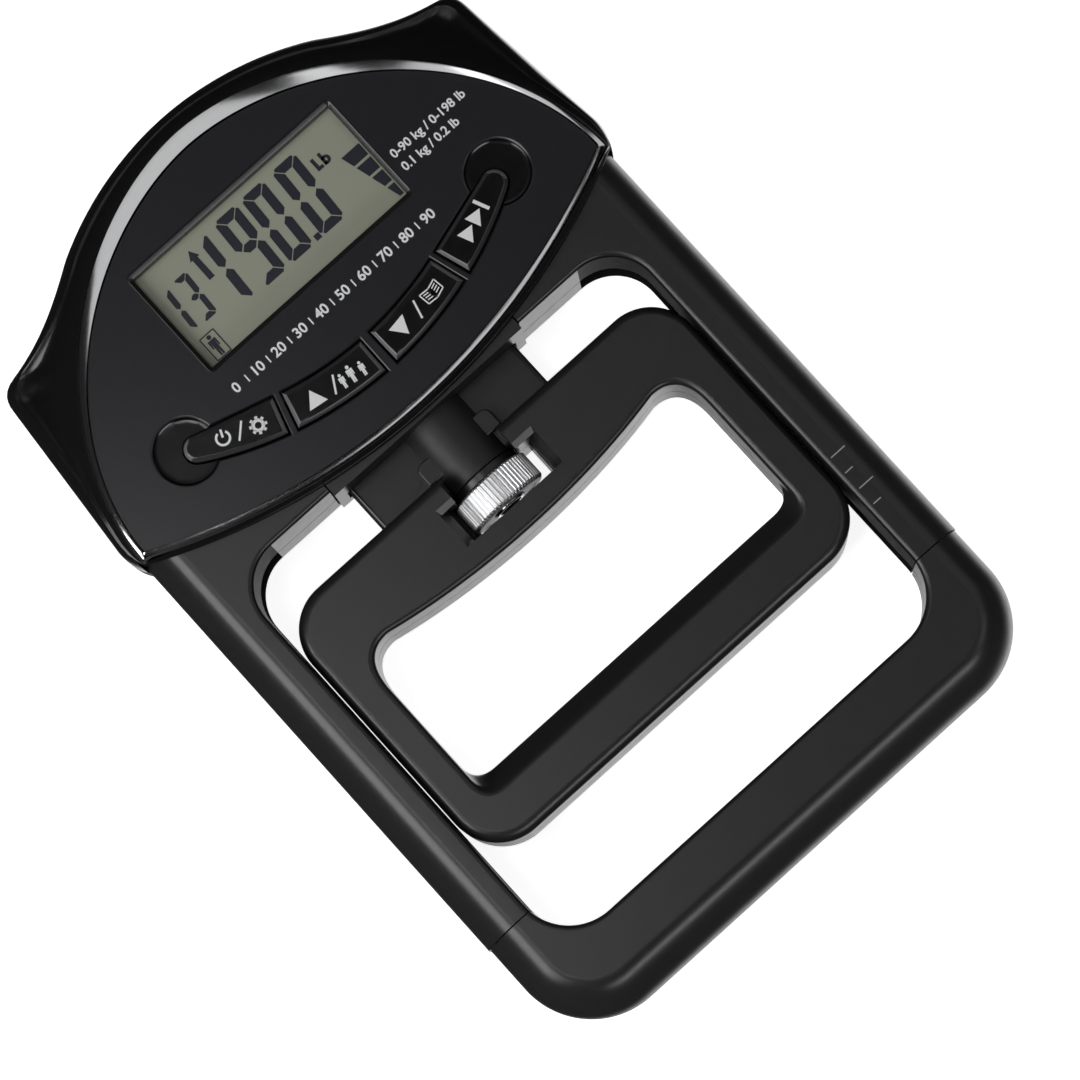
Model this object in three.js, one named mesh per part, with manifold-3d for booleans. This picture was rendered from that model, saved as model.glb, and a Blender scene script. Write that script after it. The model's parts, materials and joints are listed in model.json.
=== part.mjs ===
// Electronic hand dynamometer: a display head on a rectangular grip frame, with an
// inner handle that a knurled wheel moves along a screw.  Millimetres, lying on its back:
// X across the width, Y from the palm bar towards the display head, Z out of the face.
import * as THREE from 'three';
import { mergeVertices } from 'three/addons/utils/BufferGeometryUtils.js';
import Module from 'manifold-3d';

const wasm = await Module();
wasm.setup();

// ---- driving dimensions ------------------------------------------------------------
const LENGTH = 191; // palm bar to the top of the head
const HEAD_WIDTH = 126.4;
const FRAME_WIDTH = 121;
const FRAME_DEPTH = 24; // thickness of the rails
const HEAD_DEPTH = 27; // thickness of the head at its face
const SPLIT = 10; // height of the joint between rear and front shells
const HANDLE_SPLIT = 12;
const GAP = 0.3; // clearance between pieces that touch

const TOP = LENGTH / 2;
const BOTTOM = -LENGTH / 2;

// head
const CHIN = 16; // lowest point of the head's curved lower edge
const SMILE_RADIUS = 139;
const CROWN_RADIUS = 68;
const EAR_TOP = 19; // height of the ears, lower than the face
const WALL = 2.6;
const CAVITY_FRONT = 24; // the crossbar ends here and the electronics bay starts
const BAY_FLOOR = 3.2;

// face: an arch over a shallow smile
const ARCH_WIDTH = 119.2;
const ARCH_BASE = 30.9;
const ARCH_HEIGHT = 58.1;
const ARCH_POWER = 1.85;
const FACE_CHIN = 17.9;
const FACE_RADIUS = 138;
const PANEL_TOP = 27;
const PANEL_BOTTOM = 25.3;
const BEZEL_TOP = 27.6;

// display window in the face
const LCD_WIDTH = 52.6;
const LCD_HEIGHT = 25.4;
const LCD_MIDDLE = 61.7;
const LCD_BORDER = 1.5;

// row of keys on an arc about a point above the display
const KEY_CENTRE = 105.5;
const KEY_INNER = 71;
const KEY_OUTER = 78.6;
const KEY_TOP = 27.7;
const KEY_BOTTOM = 24.3;
const DIMPLE_X = 41;
const DIMPLE_Y = 41.1;
const DIMPLE_RADIUS = 6.6;

// frame
const OPENING_WIDTH = 99.4;
const OPENING_TOP = 17.1;
const OPENING_BOTTOM = -78.4;
const GRIP_JOINT = -68.3; // the palm grip starts here

// handle
const HANDLE_WIDTH = 98.4;
const HANDLE_TOP = 5.4;
const HANDLE_BOTTOM = -57.3;
const HANDLE_BACK = 2;
const HANDLE_FRONT = 22;
const HOLE_WIDTH = 82.4;
const HOLE_BOTTOM = -43;
const WINDOW_WIDTH = 21;
const WINDOW_TOP = -0.4;
const WINDOW_BOTTOM = -8.9;

// screw drive
const AXIS_Z = 12.5;
const SCREW_RADIUS = 4;
const WHEEL_RADIUS = 8.7;
const WHEEL_TOP = -1;
const WHEEL_BOTTOM = -7.4;
const KNURLS = 36;
const BOSS_RADIUS = 7.3;
const BOSS_END = 1.3;
const NECK_WIDTH = 43.2;
const NECK_BACK = 8;
const NECK_FRONT = 14.8;
const NECK_TOP = 26;

// battery bay
const CELL_RADIUS = 5.25;
const CELL_LENGTH = 44.5;
const CELL_Z = 8.9;
const CELL_ROWS = [61.2, 72.6];
const DOOR = { left: -26, right: 26, front: 54.8, back: 78.8, top: 1.7 };

// ---- solids ------------------------------------------------------------------------
const v2 = (x, y) => new THREE.Vector2(x, y);

function toSolid(geometry) {
  geometry.deleteAttribute('normal');
  geometry.deleteAttribute('uv');
  const merged = mergeVertices(geometry, 1e-4);
  const vertProperties = new Float32Array(merged.attributes.position.array);
  const triVerts = new Uint32Array(merged.index.array);
  return new wasm.Manifold(new wasm.Mesh({ numProp: 3, vertProperties, triVerts }));
}

const box = (x0, x1, y0, y1, z0, z1) => {
  const geometry = new THREE.BoxGeometry(x1 - x0, y1 - y0, z1 - z0);
  return toSolid(geometry.translate((x0 + x1) / 2, (y0 + y1) / 2, (z0 + z1) / 2));
};

// straight-sided slab of an outline
function prism(points, z0, z1) {
  const options = { depth: z1 - z0, bevelEnabled: false };
  return toSolid(new THREE.ExtrudeGeometry(new THREE.Shape(points), options).translate(0, 0, z0));
}

// slab whose top and bottom edges are rounded inwards from the outline
function pillow(points, z0, z1, inset, rise, steps = 4) {
  const options = {
    depth: z1 - z0 - 2 * rise,
    bevelThickness: rise,
    bevelSize: inset,
    bevelOffset: -inset,
    bevelSegments: steps,
  };
  const geometry = new THREE.ExtrudeGeometry(new THREE.Shape(points), options);
  return toSolid(geometry.translate(0, 0, z0 + rise));
}

// solid through a stack of level rings, each with the same number of points
function loft(rings) {
  const count = rings[0].points.length;
  const positions = rings.flatMap(({ points, z }) => points.flatMap((p) => [p.x, p.y, z(p)]));
  const index = [];
  for (let ring = 0; ring < rings.length - 1; ring += 1) {
    for (let i = 0; i < count; i += 1) {
      const a = ring * count + i;
      const b = ring * count + ((i + 1) % count);
      index.push(a, b, b + count, a, b + count, a + count);
    }
  }
  const lid = (ring, flip) => {
    for (const face of THREE.ShapeUtils.triangulateShape(rings[ring].points, [])) {
      const [a, b, c] = face.map((i) => i + ring * count);
      index.push(...(flip ? [c, b, a] : [a, b, c]));
    }
  };
  lid(0, true);
  lid(rings.length - 1, false);
  const geometry = new THREE.BufferGeometry();
  geometry.setAttribute('position', new THREE.Float32BufferAttribute(positions, 3));
  geometry.setIndex(index);
  return toSolid(geometry);
}

// cylinder between two points on a line parallel to one axis
function rod(axis, centre, radius, from, to, sides = 32) {
  const geometry = new THREE.CylinderGeometry(radius, radius, to - from, sides);
  const middle = (from + to) / 2;
  if (axis === 'x') geometry.rotateZ(Math.PI / 2).translate(middle, centre[0], centre[1]);
  if (axis === 'y') geometry.translate(centre[0], middle, centre[1]);
  if (axis === 'z') geometry.rotateX(Math.PI / 2).translate(centre[0], centre[1], middle);
  return toSolid(geometry);
}

const union = (solids) => solids.reduce((sum, solid) => sum.add(solid));
const cut = (solid, tools) => tools.reduce((rest, tool) => rest.subtract(tool), solid);
const above = (z) => box(-200, 200, -200, 200, z, 100);
const below = (z) => box(-200, 200, -200, 200, -100, z);

// ---- outlines ----------------------------------------------------------------------
// a closed outline from its right half, listed from the lowest middle point upwards
function mirrored(half) {
  const inner = half.filter((p) => p.x > 1e-6);
  const left = inner.map((p) => v2(-p.x, p.y)).reverse();
  return [v2(0, half[0].y), ...inner, v2(0, half[half.length - 1].y), ...left];
}

// the outline moved inwards (or outwards for a negative distance); points of a tight
// corner that would pass each other are left out
function inset(points, distance) {
  const count = points.length;
  const moved = points.map((point, i) => {
    const a = point.clone().sub(points[(i + count - 1) % count]).normalize();
    const b = points[(i + 1) % count].clone().sub(point).normalize();
    const normal = v2(-a.y - b.y, a.x + b.x).normalize();
    const spread = Math.max(0.35, normal.dot(v2(-a.y, a.x)));
    return point.clone().addScaledVector(normal, distance / spread);
  });
  return moved.filter((point, i) => {
    const next = (i + 1) % count;
    const before = points[next].clone().sub(points[i]);
    const after = moved[next].clone().sub(point);
    return after.dot(before) > 0.25 * before.lengthSq();
  });
}

const rectangle = (x0, x1, y0, y1) => [v2(x0, y0), v2(x1, y0), v2(x1, y1), v2(x0, y1)];

function roundedRectangle(x0, x1, y0, y1, topRadius, bottomRadius = topRadius) {
  const shape = new THREE.Path();
  const quarter = Math.PI / 2;
  shape.absarc(x1 - bottomRadius, y0 + bottomRadius, bottomRadius, -quarter, 0, false);
  shape.absarc(x1 - topRadius, y1 - topRadius, topRadius, 0, quarter, false);
  shape.absarc(x0 + topRadius, y1 - topRadius, topRadius, quarter, 2 * quarter, false);
  shape.absarc(x0 + bottomRadius, y0 + bottomRadius, bottomRadius, 2 * quarter, 3 * quarter, false);
  return shape.getPoints(4);
}

// the head: smile below, straight flanks, pointed ears and a crown
function headOutline() {
  const crownCentre = TOP - CROWN_RADIUS;
  const crownStart = Math.acos(33 / CROWN_RADIUS);
  const smileEnd = Math.asin(58.5 / SMILE_RADIUS);
  const half = new THREE.Path();
  half.absarc(0, CHIN + SMILE_RADIUS, SMILE_RADIUS, -Math.PI / 2, -Math.PI / 2 + smileEnd, false);
  half.quadraticCurveTo(HEAD_WIDTH / 2 - 0.2, 31, HEAD_WIDTH / 2, 36.5);
  half.lineTo(59.7, 73);
  half.quadraticCurveTo(59.2, 76.4, 55.5, 76.8);
  half.bezierCurveTo(48, 78.2, 42, 81, 33, crownCentre + CROWN_RADIUS * Math.sin(crownStart));
  half.absarc(0, crownCentre, CROWN_RADIUS, crownStart, Math.PI / 2, false);
  return mirrored(half.getPoints(5));
}

// the face: a smile below and a superelliptic arch above, both drawn in by a margin
function faceOutline(margin, crownMargin = margin) {
  const halfWidth = ARCH_WIDTH / 2 - margin;
  const base = ARCH_BASE + 1.25 * margin;
  const height = ARCH_BASE + ARCH_HEIGHT - crownMargin - base;
  const smileEnd = Math.asin((halfWidth - 0.4) / FACE_RADIUS);
  const half = new THREE.Path();
  const centre = FACE_CHIN + margin + FACE_RADIUS;
  half.absarc(0, centre, FACE_RADIUS, -Math.PI / 2, -Math.PI / 2 + smileEnd, false);
  const points = half.getPoints(5);
  const steps = 13;
  for (let i = 0; i <= steps; i += 1) {
    const t = (i / steps) * (Math.PI / 2);
    const x = halfWidth * Math.cos(t) ** (2 / ARCH_POWER);
    const y = base + height * Math.sin(t) ** (2 / ARCH_POWER);
    points.push(v2(x, y));
  }
  return mirrored(points);
}

const frameOutline = roundedRectangle(-FRAME_WIDTH / 2, FRAME_WIDTH / 2, BOTTOM, 46, 12, 17);
const frameOpening = roundedRectangle(
  -OPENING_WIDTH / 2, OPENING_WIDTH / 2, OPENING_BOTTOM, OPENING_TOP, 10, 11.5);

const gripOutline = roundedRectangle(
  -FRAME_WIDTH / 2 + 0.3, FRAME_WIDTH / 2 - 0.3, BOTTOM, 46, 12, 17);

// the finger hole: its top edge bulges towards the fingers between two raised corners
function fingerHole(bottom, corner) {
  const side = HOLE_WIDTH / 2;
  const half = new THREE.Path();
  half.moveTo(0, bottom);
  half.lineTo(side - corner, bottom);
  half.quadraticCurveTo(side, bottom, side, bottom + corner);
  half.lineTo(side, -19);
  half.quadraticCurveTo(side, -10.3, 34.2, -10.4);
  half.quadraticCurveTo(18, -13.7, 0, -13.7);
  return mirrored(half.getPoints(5));
}

// a key between two angles, measured from straight below the centre of the row
function keyOutline(from, to, grow) {
  const points = [];
  const place = (radius, angle) => {
    points.push(v2(radius * Math.sin(angle), KEY_CENTRE - radius * Math.cos(angle)));
  };
  const side = grow / KEY_OUTER;
  const steps = 5;
  for (let i = 0; i <= steps; i += 1) {
    place(KEY_OUTER + grow, from - side + ((to - from + 2 * side) * i) / steps);
  }
  for (let i = steps; i >= 0; i -= 1) {
    place(KEY_INNER - grow, from - side + ((to - from + 2 * side) * i) / steps);
  }
  return points;
}

// an end key narrows to a round end
function endKeyOutline(from, to, grow) {
  const endRadius = 2.7 + grow;
  const middle = KEY_OUTER - 2.7;
  const centre = v2(middle * Math.sin(to), KEY_CENTRE - middle * Math.cos(to));
  const points = [];
  const side = grow / KEY_OUTER;
  const steps = 5;
  for (let i = 0; i <= steps; i += 1) {
    const angle = from - side + ((to - from + side) * i) / steps;
    const radius = KEY_OUTER + grow;
    points.push(v2(radius * Math.sin(angle), KEY_CENTRE - radius * Math.cos(angle)));
  }
  for (let i = 1; i <= steps; i += 1) {
    const angle = to - Math.PI / 2 + (Math.PI * i) / steps;
    points.push(v2(centre.x + endRadius * Math.cos(angle), centre.y + endRadius * Math.sin(angle)));
  }
  const start = KEY_INNER - grow;
  const angle = from - side;
  points.push(v2(start * Math.sin(angle), KEY_CENTRE - start * Math.cos(angle)));
  return points;
}

const flipped = (points) => points.map((p) => v2(-p.x, p.y)).reverse();
const degrees = Math.PI / 180;
const KEYS = {
  power_button: (grow) => flipped(endKeyOutline(17.3 * degrees, 30.1 * degrees, grow)),
  up_button: (grow) => flipped(keyOutline(0.9 * degrees, 15.7 * degrees, grow)),
  down_button: (grow) => keyOutline(0.9 * degrees, 15.7 * degrees, grow),
  start_button: (grow) => endKeyOutline(17.3 * degrees, 30.1 * degrees, grow),
};
const KEY_ANGLES = { power_button: -23.4, up_button: -8.3, down_button: 8.3, start_button: 23.4 };

// ---- assembly ----------------------------------------------------------------------
const dynamometer = new THREE.Group();

const FINISHES = {
  satin: { color: 0x2c2d2f, roughness: 0.42, metalness: 0 },
  gloss: { color: 0x18191b, roughness: 0.22, metalness: 0 },
  face: { color: 0x1d1d22, roughness: 0.12, metalness: 0 },
  chrome: { color: 0xd4d6d8, roughness: 0.12, metalness: 1 },
  steel: { color: 0x9fa3a6, roughness: 0.35, metalness: 1 },
  brass: { color: 0xb8923e, roughness: 0.35, metalness: 1 },
  aluminium: { color: 0xbfc2c4, roughness: 0.4, metalness: 1 },
  grey: { color: 0x6a6c6e, roughness: 0.4, metalness: 0 },
  lcd: { color: 0x85867a, roughness: 0.2, metalness: 0 },
  board: { color: 0x1f6a3a, roughness: 0.5, metalness: 0 },
  rubber: { color: 0x35373a, roughness: 0.8, metalness: 0 },
  cell: { color: 0x2f4f8f, roughness: 0.35, metalness: 0.2 },
  cable: { color: 0xb4b6b8, roughness: 0.6, metalness: 0 },
};

function piece(name, solid, finish) {
  const { vertProperties, triVerts } = solid.getMesh();
  const geometry = new THREE.BufferGeometry();
  geometry.setAttribute('position', new THREE.BufferAttribute(vertProperties, 3));
  geometry.setIndex(new THREE.BufferAttribute(triVerts, 1));
  geometry.computeVertexNormals();
  const mesh = new THREE.Mesh(geometry, new THREE.MeshStandardMaterial(FINISHES[finish]));
  mesh.name = name;
  dynamometer.add(mesh);
}

// countersunk case screw driven in from the back
function caseScrew(x, y, z0, z1, headRadius = 2.6, shankRadius = 1.3) {
  const cap = rod('z', [x, y], headRadius, z0, z0 + 1.6, 14);
  const shank = rod('z', [x, y], shankRadius, z0 + 1, z1, 10);
  const arm = headRadius * 0.6;
  const slots = [[arm, 0.3], [0.3, arm]].map(([a, b]) => (
    box(x - a, x + a, y - b, y + b, z0 - 1, z0 + 0.8)));
  return cut(cap.add(shank), slots);
}

// hole that a case screw sits in, GAP larger all round
function screwHole(x, y, z0, z1, headRadius = 2.6, shankRadius = 1.3) {
  const well = rod('z', [x, y], headRadius + GAP, -1, z0 + 1.6 + GAP, 14);
  return well.add(rod('z', [x, y], shankRadius + GAP, 0, z1 + GAP, 10));
}

const HOUSING_SCREWS = [[-52, 66], [52, 66], [-54.4, 12], [54.4, 12]];
const RAIL_SCREWS = [[-54.4, -60], [54.4, -60]];
const GRIP_SCREWS = [[-30, -87], [30, -87]];
const HANDLE_SCREWS = [[-44.8, -2], [44.8, -2], [-30, -51], [30, -51]];
const HOUSING_SCREW = { from: 1, to: 16 };
const HANDLE_SCREW = { from: 3, to: 16 };

// ---- frame and head housings -------------------------------------------------------
const head = headOutline();
const smileBand = (rise) => {
  const half = new THREE.Path();
  const end = Math.asin(66 / SMILE_RADIUS);
  const centre = CHIN + rise + SMILE_RADIUS;
  half.absarc(0, centre, SMILE_RADIUS, -Math.PI / 2, -Math.PI / 2 + end, false);
  const curve = half.getPoints(8);
  const left = curve.slice(1).map((p) => v2(-p.x, p.y)).reverse();
  return [v2(-66, -200), v2(66, -200), ...curve.slice().reverse(), ...left.reverse()];
};

// how far the full-depth frame runs up under the head: its rails just past the smile,
// and the crossbar as far as the electronics bay
const frameReach = (grow) => prism(smileBand(2.4 + grow), 0, 100).add(
  box(-40 - grow, 40 + grow, 0, CAVITY_FRONT + grow, 0, 100));
const frameBack = (points) => pillow(points, 0, 40, 3.5, 5);
const frameFront = (points) => pillow(points, -30, FRAME_DEPTH, 7, 13);
const openingPrism = () => prism(frameOpening, -1, FRAME_DEPTH + 1);
const bayPrism = (from, to) => {
  const bay = prism(inset(head, WALL), from, to);
  return bay.intersect(box(-200, 200, CAVITY_FRONT, 200, from, to));
};
const belowJoint = () => box(-200, 200, -200, GRIP_JOINT, -1, 100);
const guideSeat = () => box(-24.5, 24.5, 0, 20.8, 3.7, 100);
const neckTunnel = () => union([
  box(-22, 22, 0, 30, NECK_BACK - GAP, NECK_FRONT + GAP),
  rod('y', [0, AXIS_Z], BOSS_RADIUS + 0.4, 0, 30, 32),
]);

function rearHousing() {
  const shell = pillow(head, 0, 40, 3, 4).add(frameBack(frameOutline))
    .intersect(below(SPLIT - GAP / 2));
  const doorSeat = box(DOOR.left - GAP, DOOR.right + GAP, DOOR.front - GAP, DOOR.back + 0.8,
    -1, DOOR.top + GAP);
  const doorway = box(DOOR.left + 2, DOOR.right - 2, DOOR.front + 1.5, DOOR.back - 1, -1, 10);
  const holes = [...HOUSING_SCREWS, ...RAIL_SCREWS].map(([x, y]) => (
    screwHole(x, y, HOUSING_SCREW.from, HOUSING_SCREW.to)));
  const hollow = cut(shell, [
    openingPrism(), belowJoint(), guideSeat(), neckTunnel(), bayPrism(BAY_FLOOR, 50), doorSeat,
    doorway,
  ]);
  const bosses = HOUSING_SCREWS.slice(0, 2).map(([x, y]) => (
    rod('z', [x, y], 4, BAY_FLOOR - 1, SPLIT - GAP / 2, 16)));
  return cut(union([hollow, ...bosses]), holes);
}

function frameFrontShell() {
  const rails = frameFront(frameOutline).intersect(frameReach(0));
  const flange = prism(inset(head, WALL + GAP), SPLIT, 15);
  const bay = prism(faceOutline(5), 0, 100).intersect(box(-200, 200, CAVITY_FRONT, 200, 0, 100));
  const holes = [...HOUSING_SCREWS, ...RAIL_SCREWS].map(([x, y]) => (
    rod('z', [x, y], 1.3 + GAP, 0, HOUSING_SCREW.to + GAP - (y > 20 ? 2.5 : 0), 10)));
  return cut(rails.add(flange).intersect(above(SPLIT + GAP / 2)), [
    openingPrism(), belowJoint(), guideSeat(), neckTunnel(), bay, ...holes,
  ]);
}

// distance from the middle of the face to an outline, in the direction of an angle
function reach(outline, centre, angle) {
  const direction = v2(Math.cos(angle), Math.sin(angle));
  let best = 0;
  outline.forEach((a, i) => {
    const edge = outline[(i + 1) % outline.length].clone().sub(a);
    const start = a.clone().sub(centre);
    const across = direction.cross(edge);
    if (Math.abs(across) < 1e-9) return;
    const along = start.cross(edge) / across;
    const share = start.cross(direction) / across;
    if (share >= 0 && share <= 1) best = Math.max(best, along);
  });
  return centre.clone().addScaledVector(direction, best);
}

// the cover falls from the face to its rim: steeply rounded at the crown, and down to a
// lower shelf at the ears, where the rim is far from the face
function coverBody() {
  const centre = v2(0, 52);
  const inner = faceOutline(-0.5);
  const sides = 68;
  const pairs = [];
  for (let i = 0; i < sides; i += 1) {
    const angle = (2 * Math.PI * i) / sides;
    pairs.push([reach(inner, centre, angle), reach(head, centre, angle)]);
  }
  const span = ([a, b]) => a.distanceTo(b);
  const fall = (pair) => 2.2 + 5.8 * Math.min(1, Math.max(0, (span(pair) - 4) / 12));
  const rim = (pair) => Math.min(3.2, span(pair) / 2); // width of the rounded edge
  const ring = (place, height) => {
    const points = pairs.map((pair) => pair[0].clone().lerp(pair[1], place(pair)));
    const heights = pairs.map(height);
    return { points, z: (p) => heights[points.indexOf(p)] };
  };
  const edge = (share, drop) => ring(
    (pair) => 1 - (share * rim(pair)) / span(pair), (pair) => HEAD_DEPTH - fall(pair) - drop);
  const shelf = (share, drop) => ring(
    (pair) => share * (1 - rim(pair) / span(pair)), (pair) => HEAD_DEPTH - fall(pair) * drop);
  return loft([
    ring(() => 1, () => SPLIT + GAP / 2), ring(() => 1, () => 13),
    edge(0.2, 4), edge(0.5, 1.3), shelf(1, 1), shelf(0.7, 0.88), shelf(0.35, 0.5), shelf(0, 0),
  ]);
}

function headFrontCover() {
  const frameWay = frameReach(GAP).intersect(
    box(-FRAME_WIDTH / 2 - GAP, FRAME_WIDTH / 2 + GAP, -200, 200, 0, FRAME_DEPTH + GAP));
  const roof = prism(inset(head, WALL), 0, EAR_TOP - 3.4);
  const well = prism(faceOutline(3.2), 0, 100);
  const seat = prism(faceOutline(-GAP), PANEL_BOTTOM - 0.8, 100);
  return cut(coverBody(), [frameWay, roof, well, seat]);
}

function palmGrip(body) {
  const rest = box(-200, 200, GRIP_JOINT - GAP, 200, -1, 100);
  const holes = GRIP_SCREWS.map(([x, y]) => screwHole(x, y, HOUSING_SCREW.from, HOUSING_SCREW.to));
  return cut(body, [openingPrism(), rest, ...holes]);
}

function neckGuide() {
  const block = box(-24.2, 24.2, 15.9, 20.5, 4, FRAME_DEPTH - 0.4);
  return cut(block, [neckTunnel()]);
}

piece('rear_housing', rearHousing(), 'satin');
piece('frame_front_shell', frameFrontShell(), 'satin');
piece('head_front_cover', headFrontCover(), 'gloss');
piece('palm_grip_rear', palmGrip(frameBack(gripOutline).intersect(below(SPLIT - GAP / 2))), 'satin');
piece('palm_grip_front', palmGrip(frameFront(gripOutline).intersect(above(SPLIT + GAP / 2))), 'satin');
piece('neck_guide', neckGuide(), 'satin');

// ---- face --------------------------------------------------------------------------
function bezel() {
  const outer = pillow(faceOutline(0), PANEL_BOTTOM - 0.5, BEZEL_TOP, 0.35, 0.4, 2);
  return cut(outer, [prism(faceOutline(0.8, 3.4), 0, 100)]);
}

function displayRectangle(margin, radius = 1) {
  const x = LCD_WIDTH / 2 - margin;
  const y = LCD_HEIGHT / 2 - margin;
  const edges = [-x, x, LCD_MIDDLE - y, LCD_MIDDLE + y];
  return radius > 0 ? roundedRectangle(...edges, radius) : rectangle(...edges);
}

function facePanel() {
  const plate = prism(faceOutline(0.8 + GAP, 3.4 + GAP), PANEL_BOTTOM, PANEL_TOP);
  const keyways = Object.values(KEYS).map((outline) => prism(outline(0.35), 0, 100));
  const dimples = [-DIMPLE_X, DIMPLE_X].map((x) => (
    rod('z', [x, DIMPLE_Y], DIMPLE_RADIUS, PANEL_TOP - 0.7, 40, 28)));
  return cut(plate, [prism(displayRectangle(0), 0, 100), ...keyways, ...dimples]);
}

function displayFrame() {
  const ring = prism(displayRectangle(GAP), 24.7, PANEL_TOP);
  const view = prism(displayRectangle(LCD_BORDER + 0.6, 0.6), 0, 100);
  const slope = pillow(displayRectangle(0.5, 0), 25.4, 33.4, LCD_BORDER, 1.8, 1);
  return cut(ring, [view, slope]);
}

piece('chrome_bezel', bezel(), 'chrome');
piece('face_panel', facePanel(), 'face');
piece('lcd_frame', displayFrame(), 'grey');
piece('lcd_display', prism(displayRectangle(0.6, 0.4), 23.2, 24.4), 'lcd');

for (const [name, outline] of Object.entries(KEYS)) {
  piece(name, pillow(outline(0), KEY_BOTTOM, KEY_TOP, 0.6, 0.5, 1), 'gloss');
}

// ---- electronics -------------------------------------------------------------------
const BOARD_BOTTOM = 18.6;
const BOARD_TOP = 20.2;

piece('circuit_board', prism(faceOutline(8), BOARD_BOTTOM, BOARD_TOP), 'board');
piece('zebra_strip', box(-22, 22, 50.6, 52.6, BOARD_TOP + GAP, 23.2 - GAP), 'rubber');
piece('controller_chip', box(-6, 6, 56, 68, BOARD_TOP + GAP, 22), 'rubber');

for (const [name, angle] of Object.entries(KEY_ANGLES)) {
  const radius = (KEY_INNER + KEY_OUTER) / 2 + 0.3;
  const x = radius * Math.sin(angle * degrees);
  const y = KEY_CENTRE - radius * Math.cos(angle * degrees);
  const body = box(x - 3, x + 3, y - 3, y + 3, BOARD_TOP + GAP, BOARD_TOP + 2.4);
  const plunger = rod('z', [x, y], 1.7, BOARD_TOP + 2, 23.2, 16);
  piece(name.replace('button', 'switch'), body.add(plunger), 'rubber');
}

// S-shaped load cell: two slots from opposite sides leave the strained middle web
const CELL_BODY = { half: 15, bottom: 26.4, top: 50, back: 3.6, front: 14.4 };

function loadCell() {
  const { half, bottom, top, back, front } = CELL_BODY;
  const middle = (bottom + top) / 2;
  const block = box(-half, half, bottom, top, back, front);
  const lowerSlot = box(-half - 1, half - 6, middle - 5.2, middle - 3.6, 0, 30);
  const upperSlot = box(-half + 6, half + 1, middle + 3.6, middle + 5.2, 0, 30);
  const window = rod('z', [0, middle], 3, 0, 30, 24);
  const studHole = rod('y', [0, AXIS_Z - 3.5], 3.3, bottom - 1, bottom + 6, 16);
  const boltHole = rod('y', [0, AXIS_Z - 3.5], 3.3, top - 6, top + 1, 16);
  return cut(block, [lowerSlot, upperSlot, window, studHole, boltHole]);
}

const PULL_Z = AXIS_Z - 3.5;
const BRACKET = { half: 30, front: 50.3, back: 53.8, bottom: BAY_FLOOR + GAP, top: 15 };

function loadCellBracket() {
  const { half, front, back, bottom, top } = BRACKET;
  const web = box(-half, half, front, back, bottom, top);
  const feet = [-half, half].map((x) => (
    box(x - 4.5, x + 4.5, front - 8, back, bottom, bottom + 2)));
  const holes = [-half, half].map((x) => rod('z', [x, front - 3.5], 1.9, 0, 30, 12));
  return cut(union([web, ...feet]), [rod('y', [0, PULL_Z], 3.3, 40, 60, 16), ...holes]);
}

function anchorBolt() {
  const shank = rod('y', [0, PULL_Z], 3, CELL_BODY.top - 5.5, BRACKET.back + 0.4, 16);
  const capHead = rod('y', [0, PULL_Z], 4.8, BRACKET.back + GAP, BRACKET.back + 1.6, 6);
  return shank.add(capHead);
}

piece('load_cell', loadCell(), 'aluminium');
piece('load_cell_bracket', loadCellBracket(), 'steel');
piece('anchor_bolt', anchorBolt(), 'steel');
for (const [side, x] of [['left', -BRACKET.half], ['right', BRACKET.half]]) {
  const y = BRACKET.front - 3.5;
  const screw = rod('z', [x, y], 1.6, BRACKET.bottom, BRACKET.bottom + 3, 12)
    .add(rod('z', [x, y], 2.9, BRACKET.bottom + 2 + GAP, BRACKET.bottom + 4, 16));
  piece(`bracket_screw_${side}`, screw, 'steel');
}

// signal lead from the load cell up to the board
function lead() {
  const route = new THREE.CatmullRomCurve3([
    new THREE.Vector3(-15.6, 38.2, 9), new THREE.Vector3(-21, 38.5, 9.4),
    new THREE.Vector3(-25, 36, 11.5), new THREE.Vector3(-26, 33, 15), new THREE.Vector3(-26, 33, 18),
  ]);
  const ring = new THREE.Path().absarc(0, 0, 0.9, 0, 2 * Math.PI, false).getPoints(4).slice(0, -1);
  const options = { steps: 16, extrudePath: route };
  return toSolid(new THREE.ExtrudeGeometry(new THREE.Shape(ring), options));
}
piece('load_cell_lead', lead(), 'cable');

// ---- batteries ---------------------------------------------------------------------
function batteryCell(y) {
  const half = CELL_LENGTH / 2;
  const can = rod('x', [y, CELL_Z], CELL_RADIUS, -half, half - 1, 20);
  return can.add(rod('x', [y, CELL_Z], 1.9, half - 2, half, 12));
}
CELL_ROWS.forEach((y, row) => piece(`battery_${row + 1}`, batteryCell(y), 'cell'));
for (const [side, sign] of [['left', -1], ['right', 1]]) {
  const near = CELL_LENGTH / 2 + GAP;
  const x0 = Math.min(sign * near, sign * (near + 0.6));
  piece(`battery_contact_${side}`, box(x0, x0 + 0.6, 56, 77.6, 4, 13.6), 'steel');
}

function batteryDoor() {
  const plate = box(DOOR.left, DOOR.right, DOOR.front, DOOR.back, 0, DOOR.top);
  const grips = [-1, 0, 1].map((i) => (
    box(-7, 7, DOOR.front + 4 + i * 1.8, DOOR.front + 4.8 + i * 1.8, -1, 0.5)));
  return cut(plate, grips);
}
piece('battery_door', batteryDoor(), 'satin');

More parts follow.
